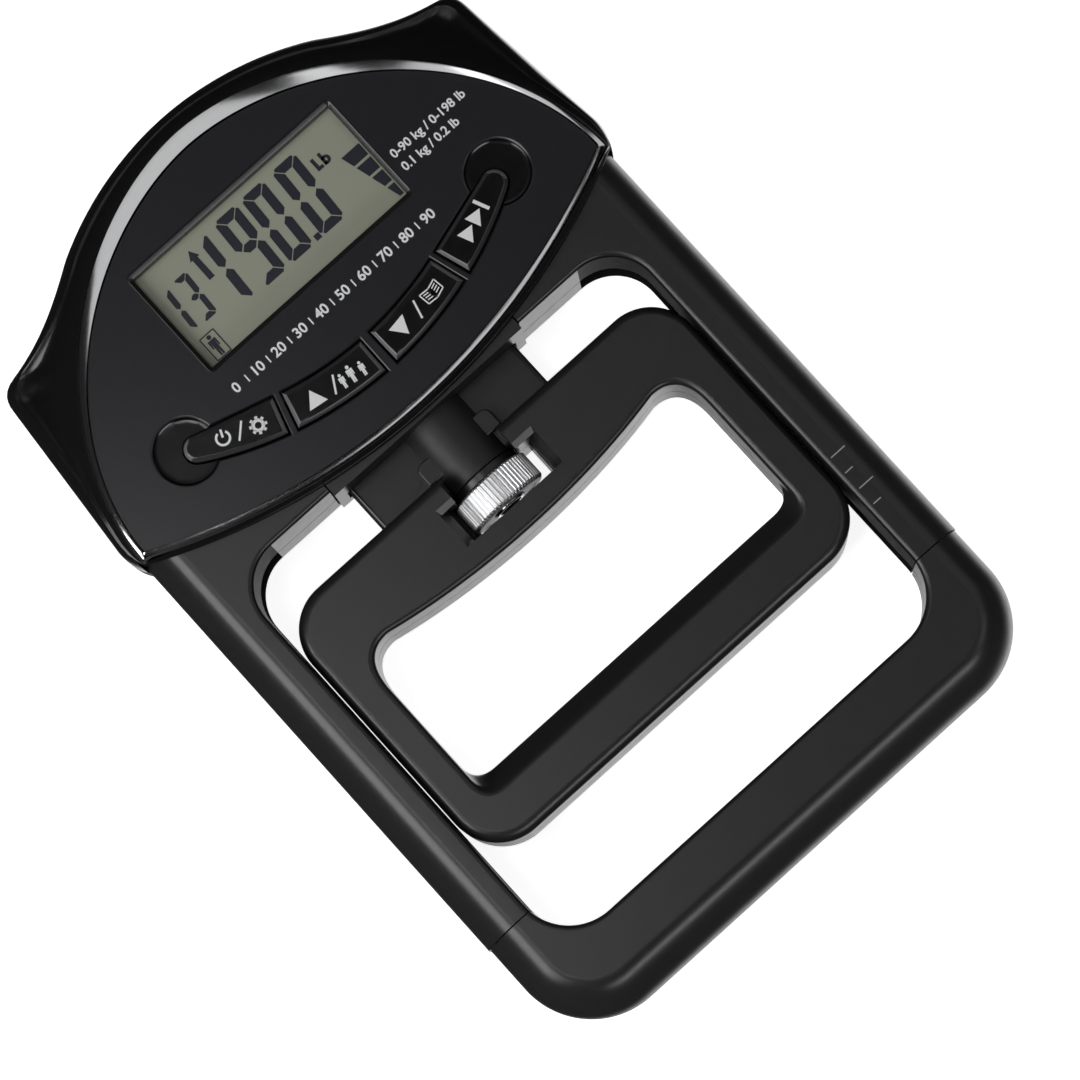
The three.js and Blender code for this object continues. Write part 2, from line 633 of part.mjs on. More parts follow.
// ---- pulling neck and screw drive --------------------------------------------------
function pullNeck() {
  const half = NECK_WIDTH / 2;
  const plate = box(-half, half, BOSS_END, NECK_TOP, NECK_BACK, NECK_FRONT);
  const legs = [-1, 1].map((side) => {
    const x = [side * 13, side * half].sort((a, b) => a - b);
    return box(x[0], x[1], -9.5, BOSS_END + 1, NECK_BACK, NECK_FRONT);
  });
  const boss = rod('y', [0, AXIS_Z], BOSS_RADIUS, BOSS_END, 23.5, 40);
  const shoulders = box(-9.2, 9.2, HANDLE_TOP + GAP, 10.4, NECK_BACK, 17);
  const bore = rod('y', [0, AXIS_Z], 6.1, -1, 22.4, 24);
  const stud = rod('y', [0, PULL_Z], 3.3, 20, 30, 16);
  return cut(union([plate, ...legs, boss, shoulders]), [bore, stud]);
}

function threadInsert() {
  const tube = rod('y', [0, AXIS_Z], 5.8, BOSS_END + 0.2, 22.1, 24);
  return cut(tube, [rod('y', [0, AXIS_Z], SCREW_RADIUS + GAP, -5, 21.6, 20)]);
}

// fluted rim: every other point of the circle is drawn in
function wheel() {
  const rim = [];
  for (let i = 0; i < 2 * KNURLS; i += 1) {
    const angle = (Math.PI * i) / KNURLS;
    const radius = WHEEL_RADIUS - (i % 2 ? 0.45 : 0);
    rim.push(v2(radius * Math.cos(angle), radius * Math.sin(angle)));
  }
  const options = { depth: WHEEL_TOP - WHEEL_BOTTOM, bevelEnabled: false };
  const fluted = new THREE.ExtrudeGeometry(new THREE.Shape(rim), options);
  fluted.rotateX(Math.PI / 2).translate(0, WHEEL_TOP, AXIS_Z);
  const recess = rod('y', [0, AXIS_Z], 6.2, WHEEL_BOTTOM - 1, WHEEL_BOTTOM + 0.9, 28);
  const bore = rod('y', [0, AXIS_Z], SCREW_RADIUS + GAP, -20, 20, 20);
  return cut(toSolid(fluted), [recess, bore]);
}

function wheelScrew() {
  const cap = rod('y', [0, AXIS_Z], 3.4, WHEEL_BOTTOM - 0.2, WHEEL_BOTTOM + 1.4, 20);
  return cut(cap, [rod('y', [0, AXIS_Z], 1.6, WHEEL_BOTTOM - 1, WHEEL_BOTTOM + 0.8, 6)]);
}

function thrustWasher() {
  const disc = rod('y', [0, AXIS_Z], 7.4, WHEEL_TOP + GAP, BOSS_END - GAP, 28);
  return cut(disc, [rod('y', [0, AXIS_Z], SCREW_RADIUS + GAP, -5, 5, 20)]);
}

piece('pull_neck', pullNeck(), 'satin');
piece('pull_stud', rod('y', [0, PULL_Z], 3, 22.8, 32, 16), 'steel');
piece('thread_insert', threadInsert(), 'brass');
piece('adjusting_wheel', wheel(), 'chrome');
piece('adjusting_screw', rod('y', [0, AXIS_Z], SCREW_RADIUS, WHEEL_BOTTOM + 1.7, 21, 20), 'steel');
piece('wheel_screw', wheelScrew(), 'chrome');
piece('thrust_washer', thrustWasher(), 'rubber');

// ---- handle ------------------------------------------------------------------------
function handleBody() {
  const half = HANDLE_WIDTH / 2;
  const outline = roundedRectangle(-half, half, HANDLE_BOTTOM, HANDLE_TOP, 10.5, 11);
  const body = pillow(outline, HANDLE_BACK, HANDLE_FRONT, 1.8, 2.4, 3);
  const windowOutline = rectangle(
    -WINDOW_WIDTH / 2 - 1.9, WINDOW_WIDTH / 2 + 1.9, WINDOW_BOTTOM - 1.4, WINDOW_TOP + 1.3);
  const bevel = pillow(windowOutline, 18, 28, 1.8, 4.5, 1);
  const channel = rod('y', [0, AXIS_Z], 7.7, WINDOW_TOP - 1, 20, 40)
    .add(box(-7.8, 7.8, WINDOW_TOP - 1, 20, AXIS_Z, 40));
  const neckHalf = NECK_WIDTH / 2 + 0.4;
  const neckSlot = box(-neckHalf, neckHalf, BOSS_END - 0.4, 20, NECK_BACK - 0.4, NECK_FRONT + 0.4);
  const legSlots = [-1, 1].map((side) => {
    const x = [side * 12.6, side * neckHalf].sort((a, b) => a - b);
    return box(x[0], x[1], -9.9, BOSS_END, NECK_BACK - 0.4, NECK_FRONT + 0.4);
  });
  const window = box(
    -WINDOW_WIDTH / 2, WINDOW_WIDTH / 2, WINDOW_BOTTOM, WINDOW_TOP, -1, 50);
  return cut(body, [
    fingerHoleCut(), window, bevel, channel, neckSlot, ...legSlots,
  ]);
}

// the hole widens towards both faces below, so that the finger bar has sloping edges
function fingerHoleCut() {
  const mid = fingerHole(HOLE_BOTTOM, 5);
  const face = fingerHole(HOLE_BOTTOM - 3.9, 4);
  const levels = [
    [face, -1], [face, HANDLE_BACK], [mid, HANDLE_BACK + 6.5],
    [mid, HANDLE_FRONT - 6.5], [face, HANDLE_FRONT], [face, HANDLE_FRONT + 1],
  ];
  return loft(levels.map(([points, z]) => ({ points, z: () => z })));
}

function handleRear() {
  const holes = HANDLE_SCREWS.map(([x, y]) => (
    screwHole(x, y, HANDLE_SCREW.from, HANDLE_SCREW.to, 1.8, 1)));
  return cut(handleBody().intersect(below(HANDLE_SPLIT - GAP / 2)), holes);
}

function handleFront() {
  const holes = HANDLE_SCREWS.map(([x, y]) => (
    rod('z', [x, y], 1 + GAP, 0, HANDLE_SCREW.to + GAP, 10)));
  return cut(handleBody().intersect(above(HANDLE_SPLIT + GAP / 2)), holes);
}

piece('handle_rear_shell', handleRear(), 'satin');
piece('handle_front_shell', handleFront(), 'satin');

// ---- fasteners ---------------------------------------------------------------------
HOUSING_SCREWS.forEach(([x, y], i) => {
  const reach = HOUSING_SCREW.to - (y > 20 ? 2.5 : 0);
  piece(`housing_screw_${i + 1}`, caseScrew(x, y, HOUSING_SCREW.from, reach), 'steel');
});
RAIL_SCREWS.forEach(([x, y], i) => {
  piece(`rail_screw_${i + 1}`, caseScrew(x, y, HOUSING_SCREW.from, HOUSING_SCREW.to), 'steel');
});
GRIP_SCREWS.forEach(([x, y], i) => {
  piece(`palm_grip_screw_${i + 1}`, caseScrew(x, y, HOUSING_SCREW.from, HOUSING_SCREW.to), 'steel');
});
HANDLE_SCREWS.forEach(([x, y], i) => {
  const screw = caseScrew(x, y, HANDLE_SCREW.from, HANDLE_SCREW.to, 1.8, 1);
  piece(`handle_screw_${i + 1}`, screw, 'steel');
});

export default dynamometer;
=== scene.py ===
"""Hand dynamometer: finishes, fine shapes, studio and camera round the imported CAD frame.

Shapes are worked out in millimetres in the CAD frame and turned into metres as they are placed.
"""
import json
import math

import bmesh
import bpy
from mathutils import Matrix, Vector


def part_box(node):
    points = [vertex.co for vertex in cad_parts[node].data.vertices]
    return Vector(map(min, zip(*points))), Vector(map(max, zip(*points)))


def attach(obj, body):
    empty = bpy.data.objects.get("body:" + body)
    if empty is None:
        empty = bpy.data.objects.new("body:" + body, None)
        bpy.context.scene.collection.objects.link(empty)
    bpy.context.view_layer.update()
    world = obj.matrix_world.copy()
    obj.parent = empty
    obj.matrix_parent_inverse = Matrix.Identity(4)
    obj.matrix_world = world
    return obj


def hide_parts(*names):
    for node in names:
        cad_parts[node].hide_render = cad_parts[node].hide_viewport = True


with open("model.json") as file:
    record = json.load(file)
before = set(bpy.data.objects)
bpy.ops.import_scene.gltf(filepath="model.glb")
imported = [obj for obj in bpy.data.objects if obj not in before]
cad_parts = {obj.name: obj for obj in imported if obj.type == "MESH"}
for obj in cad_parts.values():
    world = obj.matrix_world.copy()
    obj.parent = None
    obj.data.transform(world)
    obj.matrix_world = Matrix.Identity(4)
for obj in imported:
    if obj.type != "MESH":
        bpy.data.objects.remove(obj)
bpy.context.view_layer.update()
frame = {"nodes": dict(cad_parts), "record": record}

MM = 0.001
GAP = 0.3  # clearance between pieces
SPLIT = 10  # height of the joint between the rear and front shells
HANDLE_SPLIT = 12
AXIS_Z = 12.5  # height of the wheel's screw
CHANNEL_RADIUS = 7.7  # of the way round the boss
FAR = 200  # past the object on every side
HOUSING_SCREWS = ((-52, 66), (52, 66))
RAIL_SCREWS = ((-54.4, 12), (54.4, 12), (-54.4, -60), (54.4, -60))
PALM_SCREWS = ((-30, -87), (30, -87))
HANDLE_SCREWS = ((-44.8, -2), (44.8, -2), (-30, -51), (30, -51))
SCREW_DEPTH = 16


def span(node):
    """Lowest and highest corner of a CAD node, in millimetres."""
    return [[c / MM for c in corner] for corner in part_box(node)]


# ---- camera ------------------------------------------------------------------------
TILT_X, TILT_Y = -0.038, -0.112  # lean of the view away from straight down, radians
ROLL = math.radians(42.25)
DISTANCE = 0.9003
AIM = Vector((0, -14.8, 0)) * MM  # the point on the object that the camera turns about
SHIFT_RIGHT, SHIFT_UP = -0.12 * MM, 0.46 * MM
LENS, SENSOR = 152.33, 36


def make_camera():
    back = Vector((math.sin(TILT_X), math.sin(TILT_Y), 0))
    back.z = math.sqrt(1 - back.length_squared)
    level_up = (Vector((0, 1, 0)) - back * back.y).normalized()
    level_right = level_up.cross(back)
    right = math.cos(ROLL) * level_right - math.sin(ROLL) * level_up
    up = math.sin(ROLL) * level_right + math.cos(ROLL) * level_up
    data = bpy.data.cameras.new("camera")
    data.lens, data.sensor_width = LENS, SENSOR
    data.clip_start, data.clip_end = 0.05, 50
    camera = bpy.data.objects.new("camera", data)
    turn = Matrix((right, up, back)).transposed().to_4x4()
    place = AIM + back * DISTANCE + right * SHIFT_RIGHT + up * SHIFT_UP
    camera.matrix_world = Matrix.Translation(place) @ turn
    bpy.context.scene.collection.objects.link(camera)
    bpy.context.scene.camera = camera


make_camera()


# ---- outlines, as lists of (x, y) in order round the shape -------------------------
def arc(cx, cy, radius, start, end, steps):
    """Points along an arc, angles in degrees."""
    turns = [math.radians(start + (end - start) * i / steps) for i in range(steps + 1)]
    return [(cx + radius * math.cos(t), cy + radius * math.sin(t)) for t in turns]


def bezier(controls, steps):
    """Points along a Bezier curve after its first control point."""
    points = []
    for i in range(1, steps + 1):
        t = i / steps
        row = list(controls)
        while len(row) > 1:
            row = [
                (a[0] + (b[0] - a[0]) * t, a[1] + (b[1] - a[1]) * t)
                for a, b in zip(row, row[1:])
            ]
        points.append(row[0])
    return points


def mirrored(half):
    """A closed outline from its right half, listed from the lowest middle point up."""
    inner = [p for p in half if p[0] > 1e-6]
    left = [(-x, y) for x, y in reversed(inner)]
    return [(0, half[0][1]), *inner, (0, half[-1][1]), *left]


def offset(points, distance):
    """The outline moved inwards, or outwards for a negative distance."""
    moved = []
    count = len(points)
    for i, (x, y) in enumerate(points):
        before, after = points[i - 1], points[(i + 1) % count]
        a = Vector((x - before[0], y - before[1])).normalized()
        b = Vector((after[0] - x, after[1] - y)).normalized()
        normal = Vector((-a.y - b.y, a.x + b.x)).normalized()
        spread = max(0.35, normal.dot(Vector((-a.y, a.x))))
        moved.append((x + normal.x * distance / spread, y + normal.y * distance / spread))
    return moved


def without_loops(points, moved):
    """Leaves out the moved points of tight corners that passed each other."""
    kept = []
    count = len(points)
    for i in range(count):
        j = (i + 1) % count
        before = Vector(points[j]) - Vector(points[i])
        after = Vector(moved[j]) - Vector(moved[i])
        if after.dot(before) > 0.25 * before.length_squared:
            kept.append(moved[i])
    return kept


def rounded(x0, x1, y0, y1, top, bottom, steps=16):
    """Returns the outline of a rounded rectangle as a function of how far it is drawn in."""
    corners = [
        (x1 - bottom, y0 + bottom, bottom, -90),
        (x1 - top, y1 - top, top, 0),
        (x0 + top, y1 - top, top, 90),
        (x0 + bottom, y0 + bottom, bottom, 180),
    ]

    def outline(inset=0):
        points = []
        for cx, cy, radius, start in corners:
            points += arc(cx, cy, radius - inset, start, start + 90, steps)
        return points

    return outline


def rectangle(x0, x1, y0, y1):
    return [(x0, y0), (x1, y0), (x1, y1), (x0, y1)]


# ---- solids, as meshes in millimetres ----------------------------------------------
def solid(rings):
    """Closed mesh through a stack of rings of equal length, with a flat lid at each end."""
    count = len(rings[0])
    bm = bmesh.new()
    verts = [[bm.verts.new(p) for p in ring] for ring in rings]
    for lower, upper in zip(verts, verts[1:]):
        for i in range(count):
            j = (i + 1) % count
            bm.faces.new((lower[i], lower[j], upper[j], upper[i]))
    lids = [bm.faces.new(verts[0][::-1]), bm.faces.new(verts[-1])]
    bmesh.ops.triangulate(bm, faces=lids, ngon_method="EAR_CLIP")
    return to_mesh(bm)


def hoop(rings):
    """Closed mesh of equal rings that meet each other end to end, such as a bezel."""
    count = len(rings[0])
    bm = bmesh.new()
    verts = [[bm.verts.new(p) for p in ring] for ring in rings]
    for k, lower in enumerate(verts):
        upper = verts[(k + 1) % len(verts)]
        for i in range(count):
            j = (i + 1) % count
            bm.faces.new((lower[i], lower[j], upper[j], upper[i]))
    return to_mesh(bm)


def to_mesh(bm):
    """Mesh whose faces look outwards. A flared shape can come out of recalc inside out."""
    bmesh.ops.recalc_face_normals(bm, faces=bm.faces)
    if bm.calc_volume(signed=True) < 0:
        bmesh.ops.reverse_faces(bm, faces=bm.faces)
    mesh = bpy.data.meshes.new("solid")
    bm.to_mesh(mesh)
    bm.free()
    return mesh


def levels(outline, stack):
    """Rings of an outline function: stack lists (inset, z)."""
    return [[(x, y, z) for x, y in outline(inset)] for inset, z in stack]


def prism(points, z0, z1):
    return solid([[(x, y, z) for x, y in points] for z in (z0, z1)])


def box(x0, x1, y0, y1, z0, z1):
    return prism(rectangle(x0, x1, y0, y1), z0, z1)


def rounding(inset, rise, z, steps):
    """Quarter ellipse from the side of a slab in to its front face at height z."""
    turns = [math.pi / 2 * i / steps for i in range(steps + 1)]
    return [(inset * (1 - math.cos(t)), z - rise * (1 - math.sin(t))) for t in turns]


def slab(outline, z0, z1, back=None, front=None):
    """Slab with rounded edges; back and front are (inset, rise, steps), or None for square."""
    stack = []
    if back:
        turned = rounding(back[0], back[1], 0, back[2])
        stack += [(inset, z0 - z) for inset, z in reversed(turned)]
    else:
        stack.append((0, z0))
    stack += rounding(front[0], front[1], z1, front[2]) if front else [(0, z1)]
    return solid(levels(outline, stack))


def flared(outline, z0, z1, radius, steps=5):
    """Cutter for a through hole that leaves rounded edges at both faces."""
    front = rounding(radius, radius, z1, steps)
    back = [(inset, z0 + z1 - z) for inset, z in reversed(front)]
    stack = [(radius, z0 - 1), *back, *front, (radius, z1 + 1)]
    return solid(levels(outline, [(-grow, z) for grow, z in stack]))


def rod(axis, centre, radius, start, end, sides=64, edge=0):
    """Cylinder along one axis, with its end edges rounded."""
    stack = [(radius, start), (radius, end)]
    if edge:
        low = [(radius - inset, start + end - z) for inset, z in rounding(edge, edge, end, 4)]
        stack = low[::-1] + [(radius - inset, z) for inset, z in rounding(edge, edge, end, 4)]
    rings = []
    for ring_radius, along in stack:
        ring = arc(0, 0, ring_radius, 0, 360 * (sides - 1) / sides, sides - 1)
        if axis == "x":
            rings.append([(along, centre[0] + a, centre[1] + b) for a, b in ring])
        elif axis == "y":
            rings.append([(centre[0] + a, along, centre[1] + b) for a, b in ring])
        else:
            rings.append([(centre[0] + a, centre[1] + b, along) for a, b in ring])
    return solid(rings)


def boolean(base, operation, tools):
    """base with each tool cut away, joined on or kept in common."""
    for tool in tools:
        body = bpy.data.objects.new("body", base)
        cutter = bpy.data.objects.new("cutter", tool)
        for one in (body, cutter):
            bpy.context.scene.collection.objects.link(one)
        modifier = body.modifiers.new("boolean", "BOOLEAN")
        modifier.operation, modifier.solver, modifier.object = operation, "MANIFOLD", cutter
        graph = bpy.context.evaluated_depsgraph_get()
        base = bpy.data.meshes.new_from_object(body.evaluated_get(graph))
        for one in (body, cutter):
            bpy.data.objects.remove(one)
    return base


def cut(base, *tools):
    return boolean(base, "DIFFERENCE", tools)


def union(base, *others):
    return boolean(base, "UNION", others)


def common(base, *others):
    return boolean(base, "INTERSECT", others)


def above(z):
    return box(-FAR, FAR, -FAR, FAR, z, 100)


def below(z):
    return box(-FAR, FAR, -FAR, FAR, -100, z)


SMOOTH_ANGLE = math.radians(30)
FLAT_ANGLE = math.radians(0.25)


def add_object(name, mesh, material, body):
    """Puts a finished mesh on a body of the frame."""
    mesh.transform(Matrix.Scale(MM, 4))
    mesh.name = name
    mesh.materials.clear()
    mesh.materials.append(material)
    piece = bpy.data.objects.new(name, mesh)
    bpy.context.scene.collection.objects.link(piece)
    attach(piece, body)
    return piece


def soften(piece):
    """Smooth shading that keeps flat faces flat and sharp edges sharp."""
    piece.data.shade_smooth()
    piece.data.set_sharp_from_angle(angle=SMOOTH_ANGLE)
    normals = piece.modifiers.new("normals", "WEIGHTED_NORMAL")
    normals.keep_sharp, normals.weight = True, 100


def add_piece(name, mesh, material, body, stands_for, merge=True):
    """Tidies a mesh, places it and hides the CAD nodes that it stands for.

    merge joins faces that lie in one plane. It is off where a plane has many holes.
    """
    bm = bmesh.new()
    bm.from_mesh(mesh)
    bmesh.ops.remove_doubles(bm, verts=bm.verts, dist=0.003)
    if merge:
        bmesh.ops.dissolve_limit(bm, angle_limit=FLAT_ANGLE, verts=bm.verts, edges=bm.edges)
    piece = add_object(name, to_mesh(bm), material, body)
    soften(piece)
    if stands_for:
        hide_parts(*stands_for)
    return piece


def finish_faces(piece, material, wanted):
    """Gives the faces that pass a test a second material."""
    piece.data.materials.append(material)
    for face in piece.data.polygons:
        if wanted(face):
            face.material_index = len(piece.data.materials) - 1


# ---- materials ---------------------------------------------------------------------
def finish(name, colour, roughness, metallic=0, vary=0.15, mottle=600, grain=0, grain_size=4000,
           stretch=(1, 1, 1), **sockets):
    """Principled material whose colour, gloss and relief vary over the surface.

    vary is how far the roughness strays, mottle and grain_size are noise scales per metre,
    and grain is the depth of the moulded or brushed relief in millimetres.
    """
    material = bpy.data.materials.new(name)
    material.use_nodes = True
    nodes, links = material.node_tree.nodes, material.node_tree.links
    shader = nodes["Principled BSDF"]
    shader.inputs["Metallic"].default_value = metallic
    for socket, value in sockets.items():
        shader.inputs[socket.replace("_", " ")].default_value = value
    where = nodes.new("ShaderNodeTexCoord")
    scaled = nodes.new("ShaderNodeMapping")
    scaled.inputs["Scale"].default_value = stretch
    links.new(where.outputs["Object"], scaled.inputs["Vector"])
    cloud = nodes.new("ShaderNodeTexNoise")
    cloud.inputs["Scale"].default_value = mottle
    cloud.inputs["Detail"].default_value = 4
    links.new(scaled.outputs["Vector"], cloud.inputs["Vector"])
    gloss = nodes.new("ShaderNodeMapRange")
    gloss.inputs["To Min"].default_value = roughness * (1 - vary)
    gloss.inputs["To Max"].default_value = roughness * (1 + vary)
    links.new(cloud.outputs["Fac"], gloss.inputs["Value"])
    links.new(gloss.outputs["Result"], shader.inputs["Roughness"])
    tint = nodes.new("ShaderNodeMix")
    tint.data_type = "RGBA"
    tint.inputs[6].default_value = (*[c * (1 - vary * 0.5) for c in colour], 1)
    tint.inputs[7].default_value = (*[c * (1 + vary * 0.5) for c in colour], 1)
    links.new(cloud.outputs["Fac"], tint.inputs[0])
    links.new(tint.outputs[2], shader.inputs["Base Color"])
    if grain:
        fine = nodes.new("ShaderNodeTexNoise")
        fine.inputs["Scale"].default_value = grain_size
        fine.inputs["Detail"].default_value = 2
        links.new(scaled.outputs["Vector"], fine.inputs["Vector"])
        relief = nodes.new("ShaderNodeBump")
        relief.inputs["Distance"].default_value = grain * MM
        relief.inputs["Strength"].default_value = 1
        links.new(fine.outputs["Fac"], relief.inputs["Height"])
        links.new(relief.outputs["Normal"], shader.inputs["Normal"])
    return material


SATIN = finish("satin_plastic", (0.0138, 0.0138, 0.0143), 0.33, grain=0.006, grain_size=5000)
GLOSS = finish("gloss_plastic", (0.0060, 0.0060, 0.0064), 0.2, vary=0.2, grain=0.002,
               grain_size=900)
BOSS = finish("turned_plastic", (0.0180, 0.0180, 0.0185), 0.46, grain=0.006, grain_size=5000,
              Specular_IOR_Level=0.3)
# painted shade: a darker colour with weak or no reflection, standing in for the shade on the
# opening's side walls and corners
HALF_SHADED, SHADED = (
    finish(name, (0.008, 0.008, 0.0084), 0.5, grain=0.006, grain_size=5000,
           Specular_IOR_Level=level)
    for name, level in (("half_shaded_wall", 0.04), ("shaded_wall", 0)))
FACE = finish("polished_panel", (0.0100, 0.0098, 0.0128), 0.26, vary=0.06, mottle=300)
# the keys' own black plastic, also put on the panel's recesses as painted shade
KEY_PLASTIC_AND_RECESS_SHADE = finish("key_plastic_and_painted_recess_shade", (0.003, 0.003, 0.0032), 0.2, vary=0.2, grain=0.003,
             grain_size=3000)
# painted sheen: the keys' bevels a lighter grey than their black tops, standing in for light
# caught by the slope
KEY_BEVEL_SHEEN = finish("key_bevel_sheen", (0.035, 0.035, 0.035), 0.2, vary=0.1)
# painted highlight: light grey on the bevels at the keys' short ends, standing in for reflected
# light
KEY_END_HIGHLIGHT = finish("key_end_highlight", (0.15, 0.15, 0.15), 0.2, vary=0.1)
CHROME = finish("chrome_plate", (0.86, 0.865, 0.875), 0.09, metallic=1, vary=0.1, mottle=400)
KNURLED = finish("knurled_chrome", (0.8, 0.8, 0.81), 0.4, metallic=1, vary=0.06, mottle=900)
STEEL = finish("zinc_steel", (0.55, 0.56, 0.57), 0.3, metallic=1, vary=0.3, grain=0.005)
BRASS = finish("turned_brass", (0.72, 0.5, 0.2), 0.28, metallic=1, vary=0.3, grain=0.006,
               stretch=(1, 6, 1))
ALUMINIUM = finish("machined_aluminium", (0.72, 0.73, 0.74), 0.34, metallic=1, vary=0.3,
                   grain=0.006, stretch=(0.2, 4, 4))
TRIM = finish("grey_trim", (0.012, 0.012, 0.012), 0.24, grain=0.002)
GLASS = finish("display_glass", (0.29, 0.297, 0.235), 0.3, vary=0.06, mottle=120)
SEGMENT = finish("display_segment", (0.012, 0.014, 0.023), 0.3, vary=0.06)
BOARD = finish("solder_mask", (0.02, 0.13, 0.05), 0.35, grain=0.01, grain_size=1500)
RUBBER = finish("dark_rubber", (0.022, 0.022, 0.023), 0.62, grain=0.01)
WRAP = finish("battery_wrap", (0.05, 0.1, 0.3), 0.3, grain=0.004)
CABLE = finish("cable_jacket", (0.5, 0.51, 0.52), 0.5, grain=0.008)
PRINT = finish("white_print", (0.78, 0.78, 0.79), 0.45, vary=0.06, mottle=900)
ENGRAVED = finish("scale_print", (0.3, 0.3, 0.31), 0.45, vary=0.1, mottle=900)

# ---- head --------------------------------------------------------------------------
cover_high = span("head_front_cover")[1]
bezel_low, bezel_high = span("chrome_bezel")
panel_low, panel_high = span("face_panel")
TOP = cover_high[1]
HEAD_HALF = cover_high[0]
FACE_TOP = cover_high[2]
CHIN = 16
SMILE_RADIUS = 139
CROWN_RADIUS = 68
WALL = 2.6
BAY_FRONT = 24
BAY_FLOOR = 3.2
ROOF = 15.6
ARCH_HALF = bezel_high[0]
ARCH_BASE = 30.9
ARCH_TOP = bezel_high[1]
ARCH_POWER = 1.85
FACE_RADIUS = 138
FACE_CHIN = bezel_low[1]


def head_outline():
    """Smile below, straight flanks, pointed ears and a crown."""
    crown_y = TOP - CROWN_RADIUS
    crown_start = math.degrees(math.acos(33 / CROWN_RADIUS))
    smile_end = math.degrees(math.asin(58.5 / SMILE_RADIUS))
    half = arc(0, CHIN + SMILE_RADIUS, SMILE_RADIUS, -90, smile_end - 90, 40)
    half += bezier([half[-1], (HEAD_HALF - 0.2, 31), (HEAD_HALF, 36.5)], 12)
    half += bezier([half[-1], (59.7, 73)], 8)
    half += bezier([half[-1], (59.2, 76.4), (55.5, 76.8)], 12)
    crown = arc(0, crown_y, CROWN_RADIUS, crown_start, 90, 36)
    half += bezier([half[-1], (48, 78.2), (42, 81), crown[0]], 24)
    return mirrored(half + crown[1:])


def face_outline(margin, crown_margin=None):
    """A smile below and a superelliptic arch above, both drawn in by a margin."""
    crown_margin = margin if crown_margin is None else crown_margin
    half_width = ARCH_HALF - margin
    base = ARCH_BASE + 1.25 * margin
    height = ARCH_TOP - crown_margin - base
    smile_end = math.degrees(math.asin((half_width - 0.4) / FACE_RADIUS))
    half = arc(0, FACE_CHIN + margin + FACE_RADIUS, FACE_RADIUS, -90, smile_end - 90, 60)
    steps = 110
    for i in range(steps + 1):
        t = math.pi / 2 * i / steps
        x = half_width * max(0, math.cos(t)) ** (2 / ARCH_POWER)
        y = base + height * math.sin(t) ** (2 / ARCH_POWER)
        half.append((x, y))
    return mirrored(half)


def reach(outline, centre, angle):
    """Where a ray from the centre last crosses an outline."""
    dx, dy = math.cos(angle), math.sin(angle)
    best = 0
    for (ax, ay), (bx, by) in zip(outline, outline[1:] + outline[:1]):
        ex, ey = bx - ax, by - ay
        across = dx * ey - dy * ex
        if abs(across) < 1e-9:
            continue
        sx, sy = ax - centre[0], ay - centre[1]
        share = (sx * dy - sy * dx) / across
        if 0 <= share <= 1:
            best = max(best, (sx * ey - sy * ex) / across)
    return Vector((centre[0] + dx * best, centre[1] + dy * best))


HEAD = head_outline()


def cover_body():
    """Falls from the face to its rim: rounded at the crown, down to a shelf at the ears."""
    centre = (0, 52)
    inner = face_outline(-0.5)
    sides = 420
    pairs = []
    for i in range(sides):
        angle = 2 * math.pi * i / sides
        pairs.append((reach(inner, centre, angle), reach(HEAD, centre, angle)))
    spans = [(a - b).length for a, b in pairs]
    falls = [2.2 + 5.8 * min(1, max(0, (s - 4) / 12)) for s in spans]
    rims = [min(3.2, s / 2) for s in spans]

    def ring(place, height):
        points = []
        for (a, b), s, fall, rim in zip(pairs, spans, falls, rims):
            x, y = a.lerp(b, place(s, rim))
            points.append((x, y, height(fall)))
        return points

    shoulder = 13
    rings = [ring(lambda s, rim: 1, lambda fall: SPLIT + GAP / 2)]
    rim_steps, shelf_steps = 12, 16
    for k in range(rim_steps + 1):
        t = math.pi / 2 * k / rim_steps
        drawn, lift = 1 - math.cos(t), math.sin(t)
        rings.append(ring(
            lambda s, rim: 1 - drawn * rim / s,
            lambda fall: shoulder + (FACE_TOP - fall - shoulder) * lift))
    for k in range(1, shelf_steps + 1):
        u = 1 - k / shelf_steps
        drop = math.sin(u * math.pi / 2)
        rings.append(ring(lambda s, rim: u * (1 - rim / s), lambda fall: FACE_TOP - fall * drop))
    return solid(rings)


def smile_band(rise):
    """Everything below the head's curved lower edge, moved up by rise."""
    end = math.degrees(math.asin(66 / SMILE_RADIUS))
    curve = arc(0, CHIN + rise + SMILE_RADIUS, SMILE_RADIUS, end - 90, -end - 90, 96)
    return [(-66, -FAR), (66, -FAR), *curve]


FRAME_HALF = 60.9  # a little wider than the CAD rails, as in the photograph
FRAME_BOTTOM = span("palm_grip_front")[0][1]
FRAME_DEPTH = span("palm_grip_front")[1][2]
GRIP_JOINT = -68.3
frame_outline = rounded(-FRAME_HALF, FRAME_HALF, FRAME_BOTTOM, 46, 12, 17, 20)
grip_outline = rounded(-FRAME_HALF + 0.3, FRAME_HALF - 0.3, FRAME_BOTTOM, 46, 12, 17, 24)
opening = rounded(-49.7, 49.7, -78.4, 17.1, 10, 11.5, 20)


def frame_reach(grow):
    """The full-depth frame under the head: rails just past the smile, and the crossbar."""
    return union(
        prism(smile_band(2.4 + grow), 0, 100),
        box(-40 - grow, 40 + grow, 0, BAY_FRONT + grow, 0.1, 99))


def frame_back(outline):
    return slab(outline, 0, 40, back=(3.5, 5, 10))


def frame_front(outline):
    return slab(outline, -30, FRAME_DEPTH, front=(7.7, 15.3, 18))


def opening_cutter():
    return flared(opening, 0, FRAME_DEPTH, 1.1)


def neck_tunnel():
    return [box(-22, 22, -1, 30, 7.7, 15.1), rod("y", (0, AXIS_Z), CHANNEL_RADIUS, -1.1, 30.1)]


def guide_seat():
    return box(-24.5, 24.5, 0, 20.8, 3.7, 100)


